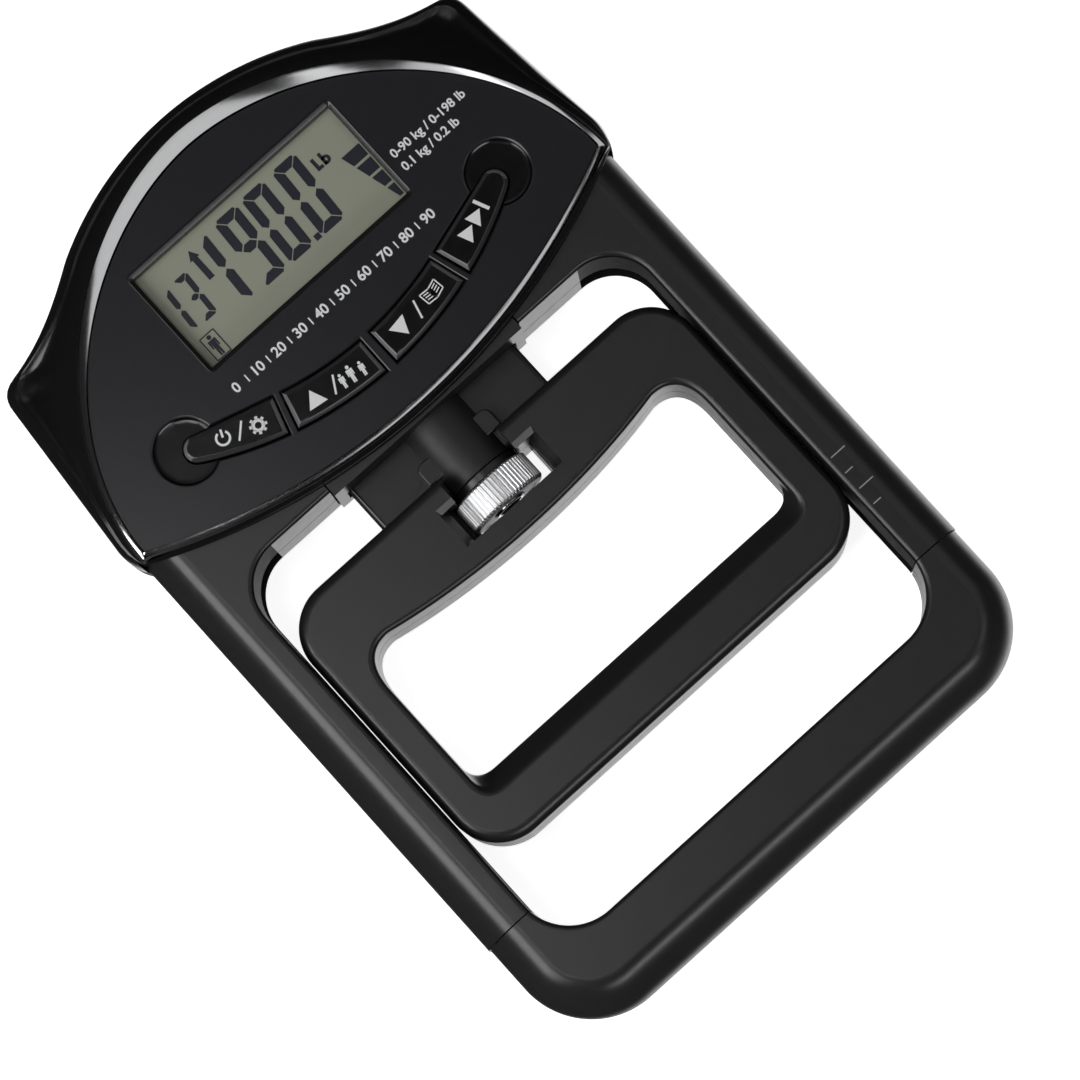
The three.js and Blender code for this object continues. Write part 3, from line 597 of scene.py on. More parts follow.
def head_front_cover():
    frame_way = common(
        frame_reach(GAP),
        box(-FRAME_HALF - GAP, FRAME_HALF + GAP, -FAR, FAR, -1, FRAME_DEPTH + GAP))
    roof = prism(without_loops(HEAD, offset(HEAD, WALL)), 0, ROOF)
    well = prism(face_outline(3.2), 1, 100)
    seat = prism(face_outline(-GAP), panel_low[2] - 0.8, 101)
    return cut(cover_body(), frame_way, roof, well, seat)


def frame_front_shell():
    rails = common(frame_front(frame_outline), frame_reach(0))
    inner = offset(HEAD, WALL + GAP)
    flange = prism(without_loops(HEAD, inner), SPLIT, 15)
    bay = common(prism(face_outline(5), 0, 100), box(-FAR, FAR, BAY_FRONT, FAR, -1, 101))
    whole = common(union(rails, flange), above(SPLIT + GAP / 2))
    rest = box(-FAR, FAR, -FAR, GRIP_JOINT, -1, 100)
    holes = [rod("z", at, 1.6, -1, 13.8, 16) for at in HOUSING_SCREWS]
    holes += [rod("z", at, 1.6, -1, 16.3, 16) for at in RAIL_SCREWS]
    return cut(whole, opening_cutter(), rest, guide_seat(), *neck_tunnel(), bay, *holes)


def screw_hole(at, head=2.6, shank=1.3, top=2.9):
    """Cutters for a screw driven in from the back: its head's well and its shank."""
    well = rod("z", at, head + GAP, -1, top, 40)
    return [well, rod("z", at, shank + GAP, 0, SCREW_DEPTH + GAP, 16)]


def rear_housing():
    head_back = slab(lambda inset: offset(HEAD, inset), 0, 40, back=(2.4, 4, 8))
    shell = common(union(head_back, frame_back(frame_outline)), below(SPLIT - GAP / 2))
    door_low, door_high = span("battery_door")
    left, right = door_low[0], door_high[0]
    front, back, top = door_low[1], door_high[1], door_high[2]
    seat = box(left - GAP, right + GAP, front - GAP, back + 0.8, -1, top + GAP)
    doorway = box(left + 2, right - 2, front + 1.5, back - 1, -1, 10)
    bay = common(
        prism(without_loops(HEAD, offset(HEAD, WALL)), BAY_FLOOR, 50),
        box(-FAR, FAR, BAY_FRONT, FAR, 0, 60))
    rest = box(-FAR, FAR, -FAR, GRIP_JOINT, -1, 100)
    hollow = cut(shell, opening_cutter(), rest, guide_seat(), *neck_tunnel(), bay, seat, doorway)
    bosses = [rod("z", at, 4, BAY_FLOOR - 1, SPLIT - GAP / 2, 32) for at in HOUSING_SCREWS]
    holes = [hole for at in HOUSING_SCREWS + RAIL_SCREWS for hole in screw_hole(at)]
    return cut(union(hollow, *bosses), *holes)


def is_side_wall(face):
    """Whether a face is part of the opening's side walls and upper corners, which get painted
    shade.
    """
    x, y = abs(face.center.x / MM), face.center.y / MM
    return abs(face.normal.z) < 0.5 and 40 < x < 50.9 and GRIP_JOINT < y < 17.2


def palm_grip(whole):
    rest = box(-FAR, FAR, GRIP_JOINT - GAP, FAR, -50, 100)
    holes = [hole for at in PALM_SCREWS for hole in screw_hole(at)]
    return cut(whole, opening_cutter(), rest, *holes)


add_piece("cover_moulding", head_front_cover(), GLOSS, "frame",
          ["head_front_cover"])
front_rails = add_piece("front_rails", frame_front_shell(), SATIN, "frame",
                        ["frame_front_shell"])
rear_moulding = add_piece("rear_moulding", rear_housing(), SATIN, "frame",
                          ["rear_housing"])
# painted shade on the opening's side walls and upper corners: lighter on the front rails, darker
# on the rear moulding
finish_faces(front_rails, HALF_SHADED, is_side_wall)
finish_faces(rear_moulding, SHADED, is_side_wall)
add_piece("palm_bar_front",
          palm_grip(common(frame_front(grip_outline), above(SPLIT + GAP / 2))),
          SATIN, "frame", ["palm_grip_front"])
add_piece("palm_bar_rear",
          palm_grip(common(frame_back(grip_outline), below(SPLIT - GAP / 2))),
          SATIN, "frame", ["palm_grip_rear"])

# ---- face --------------------------------------------------------------------------
def chrome_bezel():
    """Trim strip that leans outwards, wide over the arch and thin along the lower edge."""
    outer, inner = face_outline(0), face_outline(0.8, 3.4)
    base, crest = bezel_low[2], bezel_high[2]

    def ring(share):
        """share 0 is the outer side, 1 the inner side."""
        points = []
        for a, b in zip(outer, inner):
            width = math.dist(a, b)
            away = width * (1 - share)
            flank = min(1, max(0, ((b[0] - a[0]) / width - 0.6) / 0.25))
            shallow = math.tan(math.radians(6 + 2.5 * flank))
            steep = math.tan(math.radians(12 - 1.5 * flank))
            height = crest - away * (shallow + (steep - shallow) * (1 - share) / 2)
            points.append((a[0] + (b[0] - a[0]) * share, a[1] + (b[1] - a[1]) * share, height))
        return points

    def foot(outline):
        return [(x, y, base) for x, y in outline]

    return hoop([foot(outer), *[ring(k / 10) for k in range(11)], foot(inner)])


KEY_CENTRE = 105.5
KEY_INNER, KEY_OUTER = 71, 78.6
KEY_END = 2.7  # radius of the rounded end of an outer key
KEY_FLAT = 27.62
ROW_SHIFT = 0.6  # the row of keys stands a little right of the middle
KEY_BASE = span("start_button")[0][2]
KEYS = {  # side, angle at the inner end and at the outer end, whether its end is round
    "power": (-1, 17.3, 30.4, True),
    "up": (-1, 1.05, 15.7, False),
    "down": (1, 1.05, 15.7, False),
    "start": (1, 17.3, 30.4, True),
}


def on_row(radius, degrees):
    angle = math.radians(degrees)
    return radius * math.sin(angle), KEY_CENTRE - radius * math.cos(angle)


def key_outline(name):
    """Returns the key's outline as a function of how far it is grown outwards."""
    side, start, end, round_end = KEYS[name]

    def outline(grow=0):
        turn = math.degrees(grow / KEY_OUTER)
        last = end if round_end else end + turn
        steps = 14
        sweep = [start - turn + (last - start + turn) * i / steps for i in range(steps + 1)]
        points = [on_row(KEY_OUTER + grow, angle) for angle in sweep]
        if round_end:
            cx, cy = on_row(KEY_OUTER - KEY_END, end)
            points += arc(cx, cy, KEY_END + grow, end - 90, end + 90, 20)[1:]
            points.append(on_row(KEY_INNER - grow, start - turn))
        else:
            points += [on_row(KEY_INNER - grow, angle) for angle in reversed(sweep)]
        return [(side * x + ROW_SHIFT, y) for x, y in points]

    return outline


def is_key_bevel(face):
    return 0.35 < face.normal.z < 0.9


def is_key_end(face):
    """Whether a face is part of the bevel at one of a key's short ends."""
    middle = Vector((face.center.x - ROW_SHIFT * MM, face.center.y - KEY_CENTRE * MM))
    middle.normalize()
    sideways = abs(face.normal.x * middle.y - face.normal.y * middle.x)
    return is_key_bevel(face) and sideways > 0.4


def key_cap(name):
    """Key with a broad bevel round a flat top."""
    stack = [(0, KEY_BASE), (0, 26.75), (0.06, 26.95), (0.2, 27.12), (0.62, 27.52),
             (0.78, 27.62), (0.95, 27.66), (1.1, KEY_FLAT)]
    outline = key_outline(name)
    return solid(levels(lambda inset: outline(-inset), stack))


def keyway(name):
    """Cutter for the hole round a key, with sloping edges."""
    outline = key_outline(name)
    top = panel_high[2]
    stack = [(0.35, 20), (0.35, top - 0.5), (0.4, top - 0.25), (0.52, top - 0.08), (0.7, top),
             (0.7, top + 3)]
    return solid(levels(outline, stack))


DIMPLE = (40.3, 41.1)
LCD_HALF, LCD_LOW, LCD_HIGH = 26.3, 49, 74.4


def dimple(side):
    """Cutter for the round recess behind an outer key."""
    top = panel_high[2]
    rings = []
    for radius, z in ((5.7, top - 0.75), (6.15, top - 0.7), (6.4, top - 0.5), (6.5, top - 0.3),
                      (6.62, top - 0.14), (6.8, top - 0.04), (7, top), (7, top + 3)):
        circle = arc(side * DIMPLE[0] + ROW_SHIFT, DIMPLE[1], radius, 0, 354, 59)
        rings.append([(x, y, z) for x, y in circle])
    return solid(rings)


def polished_panel():
    plate = prism(face_outline(1.1, 3.7), panel_low[2], panel_high[2])
    window = rounded(-LCD_HALF, LCD_HALF, LCD_LOW, LCD_HIGH, 1.3, 1.3, 10)
    return cut(plate, prism(window(), 0, 100), *[dimple(side) for side in (-1, 1)],
               *[keyway(name) for name in KEYS])


add_piece("bezel_trim", chrome_bezel(), CHROME, "frame", ["chrome_bezel"])
panel = add_piece("polished_panel", polished_panel(), FACE, "frame",
                  ["face_panel"], merge=False)
panel.data.set_sharp_from_angle(angle=math.radians(8))
# painted shade: the low, upward faces of the panel's dimples take the darker key plastic
finish_faces(panel, KEY_PLASTIC_AND_RECESS_SHADE, lambda face: face.center.z < (panel_high[2] - 0.2) * MM
             and face.normal.z > 0.3)
for key in KEYS:
    cap = add_piece(f"{key}_key_cap", key_cap(key), KEY_PLASTIC_AND_RECESS_SHADE, f"{key}_key",
                    [f"{key}_button"])
    # painted sheen on all the key's bevels
    finish_faces(cap, KEY_BEVEL_SHEEN, is_key_bevel)
    # painted highlight on the bevels at the key's short ends
    finish_faces(cap, KEY_END_HIGHLIGHT, is_key_end)


def display_lip():
    """Sloping lip round the display and the short wall down to the glass."""
    top = panel_high[2]
    stack = [(0.02, panel_low[2]), (0.02, top - 0.1), (0.1, top + 0.05), (0.22, top + 0.08),
             (0.34, top + 0.03), (1.12, top - 0.5), (1.22, top - 0.62), (1.26, top - 0.78),
             (1.26, LCD_FACE + 0.05), (1.26, LCD_FACE)]
    rings = []
    for inset, z in stack:
        side = inset * 0.85
        outline = rounded(-LCD_HALF + side, LCD_HALF - side, LCD_LOW + side, LCD_HIGH - inset,
                          max(0.3, 1.3 - inset), max(0.3, 1.3 - inset), 10)
        rings.append([(x, y, z) for x, y in outline(0)])
    return hoop(rings)


LCD_FACE = span("lcd_display")[1][2]
add_piece("display_lip", display_lip(), TRIM, "frame", ["lcd_frame"])


# ---- printed and displayed marks: flat shapes in (x, y), raised a hair ---------------
def inlay(name, shapes, z, height, material, body):
    """One piece made of many thin flat shapes."""
    bm = bmesh.new()
    for shape in shapes:
        lower = [bm.verts.new((x, y, z)) for x, y in shape]
        upper = [bm.verts.new((x, y, z + height)) for x, y in shape]
        bm.faces.new(lower[::-1])
        bm.faces.new(upper)
        for i, vert in enumerate(lower):
            j = (i + 1) % len(lower)
            bm.faces.new((vert, lower[j], upper[j], upper[i]))
    return add_object(name, to_mesh(bm), material, body)


def stroke(start, end, width):
    """Straight bar between two points."""
    along = (Vector(end) - Vector(start)).normalized() * (width / 2)
    side = Vector((-along.y, along.x))
    a, b = Vector(start), Vector(end)
    return [tuple(a + side), tuple(a - side), tuple(b - side), tuple(b + side)]


def ring_band(cx, cy, radius, width, start, end, steps=24):
    """Bar bent along an arc."""
    outer = arc(cx, cy, radius + width / 2, start, end, steps)
    inner = arc(cx, cy, radius - width / 2, start, end, steps)
    return outer + inner[::-1]


def disc(cx, cy, radius, sides=24):
    return arc(cx, cy, radius, 0, 360 * (sides - 1) / sides, sides - 1)


SEGMENTS = {"0": "abcdef", "1": "bc", "3": "abgcd", "9": "abcdfg"}
SLANT = 0.055


def digit(value, x0, x1, y0, y1, t, gap):
    """Leaning seven-segment figure with mitred and clipped corners."""
    ym, h, clip, g = (y0 + y1) / 2, t / 2, 0.45 * t, 0.7 * gap
    shapes = {
        "g": [(x0 + h + gap, ym), (x0 + t + gap, ym + h), (x1 - t - gap, ym + h),
              (x1 - h - gap, ym), (x1 - t - gap, ym - h), (x0 + t + gap, ym - h)],
    }
    for name, y, way in (("a", y1, -1), ("d", y0, 1)):
        low = y + way * clip / 2
        shapes[name] = [(x0 + clip, y), (x1 - clip, y), (x1 - clip / 2 - g, low),
                        (x1 - t - g, y + way * t), (x0 + t + g, y + way * t),
                        (x0 + clip / 2 + g, low)]
    for name, x, way, end, mid in (("f", x0, 1, y1, 1), ("b", x1, -1, y1, 1),
                                   ("e", x0, 1, y0, -1), ("c", x1, -1, y0, -1)):
        inner = x + way * t
        shapes[name] = [
            (x, end - mid * clip), (x + way * clip / 2, end - mid * (clip / 2 + g)),
            (inner, end - mid * (t + g)), (inner, ym + mid * (h + gap)),
            (x + way * h, ym + mid * gap), (x, ym + mid * (h + gap))]
    return [[(x + SLANT * (y - ym), y) for x, y in shapes[name]] for name in SEGMENTS[value]]


def person(x, y, height):
    """Standing figure: a head, a body with arms and two legs."""
    s = height
    return [
        disc(x, y + 0.9 * s, 0.1 * s, 16),
        [(x - 0.19 * s, y + 0.77 * s), (x - 0.19 * s, y + 0.4 * s), (x - 0.13 * s, y + 0.4 * s),
         (x - 0.11 * s, y + 0.68 * s), (x - 0.1 * s, y), (x - 0.015 * s, y),
         (x, y + 0.38 * s), (x + 0.015 * s, y), (x + 0.1 * s, y), (x + 0.11 * s, y + 0.68 * s),
         (x + 0.13 * s, y + 0.4 * s), (x + 0.19 * s, y + 0.4 * s), (x + 0.19 * s, y + 0.77 * s)],
    ]


def display_marks():
    low, high, thick = 55.1, 71.3, 1.95
    shapes = digit("1", -15, -9.3, low, high, 2, 0.2)
    shapes += digit("9", -6.9, -1.1, low, high, thick, 0.2)
    shapes += digit("0", 0.1, 5.9, low, high, thick, 0.2)
    shapes.append(rectangle(6.3, 7.6, low, low + 1.3))
    shapes += digit("0", 8.1, 14.0, low, high, thick, 0.2)
    shapes += digit("1", -24.5, -21.6, 57.9, 67.9, 1.2, 0.15)
    shapes += digit("3", -20.2, -16.8, 57.9, 68, 1.2, 0.15)
    shapes += [rectangle(-14.2, -12.9, 63.5, 68.6),
               [(-14.7, 68.6), (-12.4, 68.6), (-13.55, 70.6)]]
    shapes += [rectangle(15.6, 16.35, 65.1, 67.9), rectangle(16.3, 17.1, 65.1, 65.8),
               rectangle(17.4, 18.1, 65.1, 67.9), ring_band(18.2, 66.0, 0.65, 0.65, -150, 150, 12)]
    for row in range(4):
        top, bottom = 64.1 - 3.45 * row, 61.2 - 3.45 * row
        left = 20.5 + 0.92 * row
        shapes.append([(left, top), (25, top), (25, bottom), (left + 0.8, bottom)])
    frame_box = ((-23.5, 50.6), (-20.1, 50.6), (-20.1, 56), (-23.5, 56))
    shapes += [stroke(a, b, 0.26) for a, b in zip(frame_box, frame_box[1:] + frame_box[:1])]
    shapes += person(-21.8, 50.9, 4.8)
    return shapes


inlay("display_marks", display_marks(), LCD_FACE, 0.05, SEGMENT, "frame")


def power_symbol(x, y, r):
    return [ring_band(x, y, r, 0.34 * r, 125, 415), stroke((x, y + 0.1 * r), (x, y + 1.3 * r),
                                                         0.34 * r)]


def gear_symbol(x, y, r):
    shapes = [ring_band(x, y, 0.62 * r, 0.4 * r, 0, 359.9, 30)]
    for k in range(8):
        angle = math.pi * k / 4
        c, s = math.cos(angle), math.sin(angle)
        shapes.append(stroke((x + 0.7 * r * c, y + 0.7 * r * s), (x + 1.12 * r * c,
                                                                y + 1.12 * r * s), 0.36 * r))
    return shapes


def book_symbol(x, y, w, h):
    """Open book: two leaning pages with lines on them."""
    shapes = []
    for side in (-1, 1):
        edge = [(x, y - h), (x, y + 0.7 * h), (x + side * w, y + h), (x + side * w, y - 0.7 * h)]
        shapes += [stroke(a, b, 0.26) for a, b in zip(edge, edge[1:] + edge[:1])]
        for k in (-0.35, 0.05, 0.45):
            shapes.append(stroke((x + side * 0.22 * w, y + (k - 0.1) * h),
                                 (x + side * 0.78 * w, y + (k + 0.1) * h), 0.22))
    return shapes


SLASH = ((-0.75, -1.7), (0.75, 1.9))


def legend(name):
    """Symbols of a key in its own frame: u along the row, v towards the display."""
    if name == "power":
        return power_symbol(-3.6, -0.2, 1.35) + [stroke(*SLASH, 0.4)] + gear_symbol(3.6, 0, 1.6)
    slash = [(u + 0.2, v) for u, v in SLASH]
    if name == "up":
        return [[(-6.5, -1.6), (-2.4, -1.6), (-4.45, 1.9)], stroke(*slash, 0.4),
                *person(4.0, -1.8, 3.7), *person(6.4, -1.8, 3.1), *person(1.9, -1.8, 3.1)]
    if name == "down":
        return [[(-6.5, 1.8), (-4.45, -1.7), (-2.4, 1.8)], stroke(*slash, 0.4),
                *book_symbol(4.5, 0.1, 2.1, 1.45)]
    return [[(-3.4, -1.75), (-3.4, 1.75), (-0.3, 0)], [(0.1, -1.75), (0.1, 1.75), (3.2, 0)],
            rectangle(3.6, 4.3, -1.75, 1.75)]


LEGEND_ANGLES = {"power": -23.6, "up": -8.3, "down": 8.3, "start": 23.6}
LEGEND_RADIUS = 74.9
for key, degrees in LEGEND_ANGLES.items():
    cx, cy = on_row(LEGEND_RADIUS, degrees)
    angle = math.radians(degrees)
    c, s = math.cos(angle), math.sin(angle)
    turned = [[(ROW_SHIFT + cx + u * c - v * s, cy + u * s + v * c) for u, v in shape]
              for shape in legend(key)]
    inlay(f"{key}_legend", turned, KEY_FLAT, 0.04, PRINT, f"{key}_key")


def lettering(rows):
    """Mesh of short texts: rows lists (text, size, x, y, alignment)."""
    bm = bmesh.new()
    for text, size, x, y, alignment in rows:
        curve = bpy.data.curves.new("text", "FONT")
        curve.body, curve.size, curve.align_x = text, size, alignment
        curve.extrude, curve.offset, curve.resolution_u = 0.02, 0.022 * size, 3
        holder = bpy.data.objects.new("text", curve)
        holder.location = (x, y, panel_high[2] + 0.02)
        bpy.context.scene.collection.objects.link(holder)
        graph = bpy.context.evaluated_depsgraph_get()
        mesh = bpy.data.meshes.new_from_object(holder.evaluated_get(graph))
        mesh.transform(holder.matrix_world)
        bm.from_mesh(mesh)
        bpy.data.objects.remove(holder)
    bmesh.ops.remove_doubles(bm, verts=bm.verts, dist=0.001)
    return to_mesh(bm)


SCALE_X, SCALE_Y, SCALE_STEP = 0.4, 42.9, 5.5
numbers = [(str(10 * k), 2.95, SCALE_X + (k - 4.5) * SCALE_STEP, SCALE_Y, "CENTER")
           for k in range(10)]
ratings = [("0-90 kg / 0-198 lb", 2.6, 27.9, 56.55, "LEFT"),
           ("0.1 kg / 0.2 lb", 2.6, 27.9, 53.25, "LEFT")]
add_object("printed_figures", lettering(numbers + ratings), PRINT, "frame")
ticks = []
for k in range(9):
    middle = SCALE_X + (k - 4) * SCALE_STEP
    ticks.append(rectangle(middle - 0.14, middle + 0.14, SCALE_Y + 0.1, SCALE_Y + 1.75))
inlay("printed_ticks", ticks, panel_high[2], 0.04, PRINT, "frame")
marks = []
for k in range(4):
    y = -42.85 - 4 * k
    marks.append(rectangle(51.2, 54.7 if k % 2 == 0 else 53.1, y - 0.12, y + 0.12))
inlay("span_scale", marks, FRAME_DEPTH, 0.03, ENGRAVED, "frame")

# ---- neck and wheel ----------------------------------------------------------------
neck_high = span("pull_neck")[1]
NECK_HALF = neck_high[0]
BOSS_END = 1.3
wheel_low, wheel_high = span("adjusting_wheel")
WHEEL_RADIUS = wheel_high[0]


def pull_neck():
    plate = slab(rounded(-NECK_HALF, NECK_HALF, BOSS_END, neck_high[1], 0.3, 0.3, 4),
                 8, 14.8, front=(1.1, 1.3, 8))
    legs = [box(min(x), max(x), -9.5, BOSS_END + 1, 8.01, 14.79)
            for x in ((-13, -NECK_HALF + 0.01), (13, NECK_HALF - 0.01))]
    boss = rod("y", (0, AXIS_Z), 7.3, BOSS_END, 23.5, 96, edge=0.3)
    shoulder = rounded(-9.2, 9.2, 5.7, 10.4, 1.6, 0.4, 8)
    shoulders = slab(shoulder, 8, 17, front=(0.35, 0.35, 4))
    bore = rod("y", (0, AXIS_Z), 6.1, -1, 22.4, 48)
    stud = rod("y", (0, 9), 3.3, 20, 30, 32)
    return cut(union(plate, *legs, boss, shoulders), bore, stud)


def is_boss(face):
    """Whether a face is part of the neck's round boss."""
    return math.hypot(face.center.x, face.center.z - AXIS_Z * MM) < 7.35 * MM and (
        face.center.z > 14.81 * MM)


def lathe(profile, count, radius_of=lambda r, angle: r):
    """Ring of revolution about the screw: profile lists (radius, y) round its section."""
    rings = []
    for r, y in profile:
        ring = []
        for i in range(count):
            angle = 2 * math.pi * i / count
            radius = radius_of(r, angle)
            ring.append((radius * math.cos(angle), y, AXIS_Z + radius * math.sin(angle)))
        rings.append(ring)
    return hoop(rings)


WHEEL_RISE = 0.5  # the wheel stands closer to the boss than its plain CAD solid
TEETH = 60
TOOTH_DEPTH = 0.45


def fluted(r, angle):
    """Draws in the rim between teeth, and nothing further in."""
    share = min(1, max(0, (r - (WHEEL_RADIUS - 0.6)) / 0.5))
    valley = 0.5 - 0.5 * math.cos(TEETH * angle)
    return r - TOOTH_DEPTH * share * valley ** 2


def knurled_wheel():
    bottom, top, bore = wheel_low[1] + WHEEL_RISE, wheel_high[1] + WHEEL_RISE, 3.7
    r = WHEEL_RADIUS
    profile = [
        (bore, top), (r - 0.7, top), (r - 0.5, top - 0.06), (r - 0.1, top - 0.35), (r, top - 0.5),
        (r, bottom + 0.75), (r - 0.08, bottom + 0.55), (r - 0.45, bottom + 0.12),
        (r - 0.62, bottom + 0.02), (r - 0.9, bottom), (7, bottom), (6.8, bottom + 0.04),
        (6.5, bottom + 0.16), (6.2, bottom + 0.2), (4.4, bottom + 0.22), (4, bottom + 0.26),
        (bore, bottom + 0.4)]
    return lathe(profile, TEETH * 8, fluted)


def thrust_washer():
    low, high = span("thrust_washer")
    r, edge = high[0], 0.12
    bottom, top = low[1] + WHEEL_RISE - 0.15, high[1] + 0.15
    profile = [(4.3, bottom), (r - edge, bottom), (r, bottom + edge), (r, top - edge),
               (r - edge, top), (4.3, top)]
    return lathe(profile, 96)


def socket_screw():
    low, high = span("wheel_screw")
    start = low[1] + WHEEL_RISE
    cap = rod("y", (0, AXIS_Z), high[0], start, high[1], 64, edge=0.3)
    turns = [math.pi * i / 24 for i in range(48)]
    sink = [[(radius * math.cos(t), y, AXIS_Z + radius * math.sin(t)) for t in turns]
            for radius, y in ((3, start - 0.2), (2.8, start), (2.3, start + 0.5))]
    socket = rod("y", (0, AXIS_Z), 2.2, start - 1, start + 1.3, 6)
    return cut(cap, solid(sink), socket)


neck = add_piece("neck_moulding", pull_neck(), SATIN, "frame", ["pull_neck"])
finish_faces(neck, BOSS, is_boss)
add_piece("knurled_wheel", knurled_wheel(), KNURLED, "wheel", ["adjusting_wheel"])
add_piece("flange_washer", thrust_washer(), SATIN, "handle", ["thrust_washer"])
add_piece("socket_screw", socket_screw(), CHROME, "wheel", ["wheel_screw"])

# ---- handle ------------------------------------------------------------------------
handle_low, handle_high = span("handle_front_shell")
HANDLE_HALF = handle_high[0]
HANDLE_BACK, HANDLE_FRONT = span("handle_rear_shell")[0][2], handle_high[2]
HOLE_HALF, HOLE_BOTTOM = 41.2, -43
HOLE_FLARE = 3.9  # how much lower the hole's lower edge is at the faces
WINDOW_LEFT, WINDOW_RIGHT, WINDOW_LOW, WINDOW_HIGH = -10, 11, -8.5, -0.4


def finger_hole(bottom, corner):
    """The top edge bulges towards the fingers between two raised corners."""
    side = HOLE_HALF
    half = [(0, bottom), (side - corner, bottom)]
    half += bezier([half[-1], (side, bottom), (side, bottom + corner)], 14)
    half.append((side, -19))
    half += bezier([half[-1], (side, -10.3), (34.2, -10.4)], 18)
    half += bezier([half[-1], (18, -13.7), (0, -13.7)], 24)
    return mirrored(half)


def finger_hole_cutter():
    """Widens downwards to both faces, with rounded edges all round."""
    middle = (HANDLE_FRONT + HANDLE_BACK) / 2
    depth = HANDLE_FRONT - middle
    flare_from, edge = 3.5, 1.3
    heights = [0, 1.5, flare_from, 4.3, 5.2, 6.2, 7.2, 8.2, depth - edge]
    rounded_part = rounding(edge, edge, depth, 6)[1:]
    ladder = [(0, h) for h in heights] + rounded_part + [(edge, depth + 1)]
    rings = []
    for way in (-1, 1):
        half = ladder[::-1] if way < 0 else ladder[1:]
        for grow, h in half:
            share = min(1, max(0, (h - flare_from) / (depth - flare_from))) ** 1.15
            outline = finger_hole(HOLE_BOTTOM - HOLE_FLARE * share, 5 - share)
            z = middle + way * h
            rings.append([(x, y, z) for x, y in offset(outline, -grow)])
    return solid(rings)


def handle_body():
    outline = rounded(-HANDLE_HALF, HANDLE_HALF, handle_low[1], handle_high[1], 10.5, 11, 20)
    body = slab(outline, HANDLE_BACK, HANDLE_FRONT, back=(0.9, 1.2, 10), front=(2.3, 2.6, 10))
    window = union(
        box(WINDOW_LEFT, WINDOW_RIGHT, WINDOW_LOW, WINDOW_HIGH, HANDLE_SPLIT, 50),
        box(-WHEEL_RADIUS - GAP, WINDOW_RIGHT - 0.2, WINDOW_LOW, WINDOW_HIGH, 7.5,
            HANDLE_SPLIT + 0.01),
        box(-7.7, WINDOW_RIGHT - 0.2, WINDOW_LOW, WINDOW_HIGH, -1, 7.51))
    mouth_levels = ((0, -0.1, 17.8), (1.45, -0.05, 21.1), (1.9, 1.5, 22.2), (1.9, 1.5, 30))
    mouth = solid([[(x, y, z) for x, y in rectangle(
        WINDOW_LEFT - side, WINDOW_RIGHT + side, WINDOW_LOW + 0.02, WINDOW_HIGH + rise)]
        for side, rise, z in mouth_levels])
    channel = union(rod("y", (0, AXIS_Z), CHANNEL_RADIUS, WINDOW_HIGH - 1, 20, 96),
                    box(-7.8, 7.8, WINDOW_HIGH - 0.9, 19.9, AXIS_Z, 40))
    reach_out = NECK_HALF + 0.4
    slots = [box(-reach_out, reach_out, BOSS_END - 0.4, 20.1, 7.6, 15.2)]
    slots += [box(min(x), max(x), -9.9, BOSS_END, 7.61, 15.19)
              for x in ((-12.6, -reach_out + 0.01), (12.6, reach_out - 0.01))]
    return cut(body, finger_hole_cutter(), window, mouth, channel, *slots)


wells = [hole for at in HANDLE_SCREWS for hole in screw_hole(at, 1.8, 1, 4.9)]
shanks = [rod("z", at, 1.3, 0, 16.3, 16) for at in HANDLE_SCREWS]
rear = cut(common(handle_body(), below(HANDLE_SPLIT - GAP / 2)), *wells)
front = cut(common(handle_body(), above(HANDLE_SPLIT + GAP / 2)), *shanks)
add_piece("handle_rear_half", rear, SATIN, "handle", ["handle_rear_shell"])
add_piece("handle_front_half", front, SATIN, "handle", ["handle_front_shell"])

# ---- CAD nodes that show as they are -------------------------------------------------
SLOT_FINISHES = {
    "satin_black": SATIN, "gloss_black": GLOSS, "face_black": FACE, "chrome": CHROME,
    "steel": STEEL, "brass": BRASS, "aluminium": ALUMINIUM, "grey_trim": TRIM,
    "lcd_glass": GLASS, "board_green": BOARD, "dark_rubber": RUBBER, "battery_wrap": WRAP,
    "cable": CABLE,
}
for subpart in frame["record"]["subparts"]:
    node = frame["nodes"][subpart["node"]]
    if node.hide_render:
        continue
    node.data.materials.clear()
    node.data.materials.append(SLOT_FINISHES[subpart["material_slot"]])
    soften(node)

# ---- studio ------------------------------------------------------------------------
world = bpy.data.worlds.new("studio")
bpy.context.scene.world = world
world.use_nodes = True


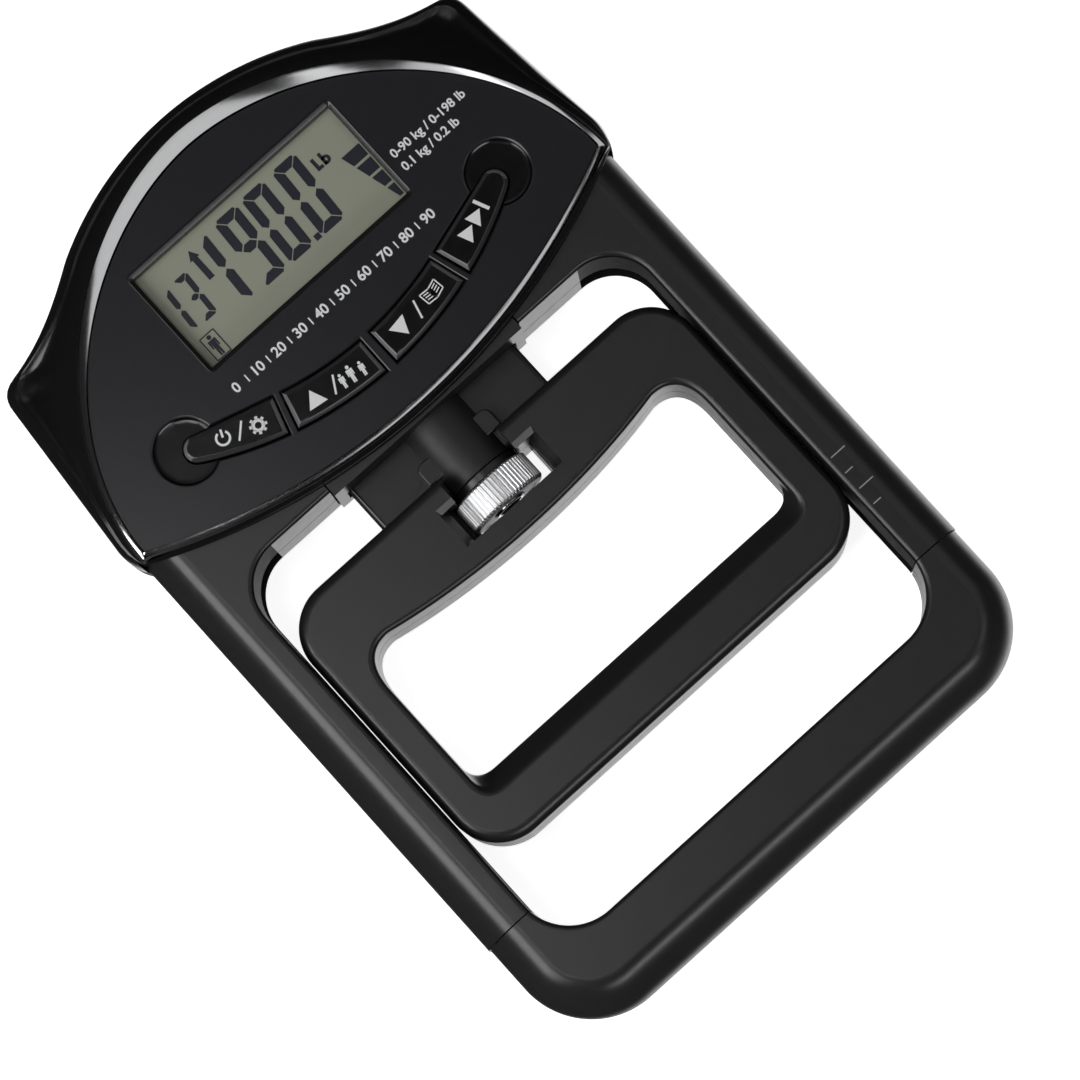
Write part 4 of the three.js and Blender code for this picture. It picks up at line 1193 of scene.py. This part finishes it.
def light_room(tree, low_light, room_light):
    """A pale bounce from below on one side, a dim room elsewhere, a white backdrop when seen."""
    nodes, links = tree.nodes, tree.links
    direction = nodes.new("ShaderNodeTexCoord")
    axes = nodes.new("ShaderNodeSeparateXYZ")
    links.new(direction.outputs["Generated"], axes.inputs["Vector"])

    def ramp(source, start, end):
        node = nodes.new("ShaderNodeMapRange")
        node.interpolation_type = "SMOOTHSTEP"
        node.inputs["From Min"].default_value, node.inputs["From Max"].default_value = start, end
        links.new(source, node.inputs["Value"])
        return node.outputs["Result"]

    def combine(operation, first, second):
        node = nodes.new("ShaderNodeMath")
        node.operation = operation
        for slot, value in enumerate((first, second)):
            if isinstance(value, (int, float)):
                node.inputs[slot].default_value = value
            else:
                links.new(value, node.inputs[slot])
        return node.outputs["Value"]

    def bounce(heading, start, end, high, low, strength):
        towards = nodes.new("ShaderNodeVectorMath")
        towards.operation = "DOT_PRODUCT"
        towards.inputs[1].default_value = heading
        links.new(direction.outputs["Generated"], towards.inputs[0])
        sideways = ramp(towards.outputs["Value"], start, end)
        depth = ramp(axes.outputs["Z"], high, low)
        return combine("MULTIPLY", combine("MULTIPLY", sideways, depth), strength)

    below = combine("MAXIMUM", bounce((0.25, 0, -0.97), 0.89, 0.93, 0, -0.1, low_light),
                    bounce((1, 0, 0), 0.15, 0.3, -0.6, -0.97, low_light / 3))
    path = nodes.new("ShaderNodeLightPath")
    seen = combine("MAXIMUM", combine("ADD", below, room_light), path.outputs["Is Camera Ray"])
    links.new(seen, nodes["Background"].inputs["Color"])


light_room(world.node_tree, low_light=1.45, room_light=0.012)


def softbox(name, azimuth, lean, distance, size, radiance):
    """Lamp panel facing the object: azimuth from +X, lean off the vertical, size in metres."""
    turn, tip = math.radians(azimuth), math.radians(lean)
    out = Vector((math.sin(tip) * math.cos(turn), math.sin(tip) * math.sin(turn), math.cos(tip)))
    across = Vector((-math.sin(turn), math.cos(turn), 0))
    data = bpy.data.lights.new(name, "AREA")
    data.shape, data.size, data.size_y = "RECTANGLE", *size
    data.energy = 4 * radiance * size[0] * size[1]
    lamp = bpy.data.objects.new(name, data)
    lamp.matrix_world = Matrix.Translation(distance * out) @ Matrix(
        (across, out.cross(across), out)).transposed().to_4x4()
    bpy.context.scene.collection.objects.link(lamp)


LAMPS = (  # name, azimuth, lean, distance, size, radiance
    ("lamp_side", 174, 51, 1, (0.6, 0.68), 4),
    ("lamp_gradient", 165, 12.5, 1, (0.25, 0.16), 6),
    ("lamp_over", 93, 30, 2, (0.66, 0.6), 0.42),
    ("lamp_strip", 66, 30, 2, (0.11, 0.6), 0.6),
    ("lamp_edge", 43, 30, 2, (0.48, 0.6), 0.42),
    ("lamp_glint", 46, 30, 1.9, (0.1, 0.57), 0.85),
    ("lamp_right", 0, 42, 1, (0.45, 0.9), 0.38),
    ("lamp_front", 300, 12, 2, (0.55, 0.3), 0.4),
    ("lamp_corner", 315, 46, 1, (0.4, 0.35), 0.8),
    ("lamp_foot", 268, 62, 1, (0.6, 0.25), 3.5),
)
for lamp in LAMPS:
    softbox(*lamp)

paper = finish("paper", (0.86, 0.86, 0.86), 0.9, vary=0.02, mottle=20,
               Emission_Color=(1, 1, 1, 1), Emission_Strength=0.9)
floor_mesh = bpy.data.meshes.new("floor")
floor_mesh.from_pydata([(-8, -8, 0), (8, -8, 0), (8, 8, 0), (-8, 8, 0)], [], [(0, 1, 2, 3)])
floor_mesh.materials.append(paper)
floor = bpy.data.objects.new("floor", floor_mesh)
floor.location.z = -0.0004
floor.visible_glossy = False
bpy.context.scene.collection.objects.link(floor)
bpy.context.scene.view_settings.view_transform = "Standard"
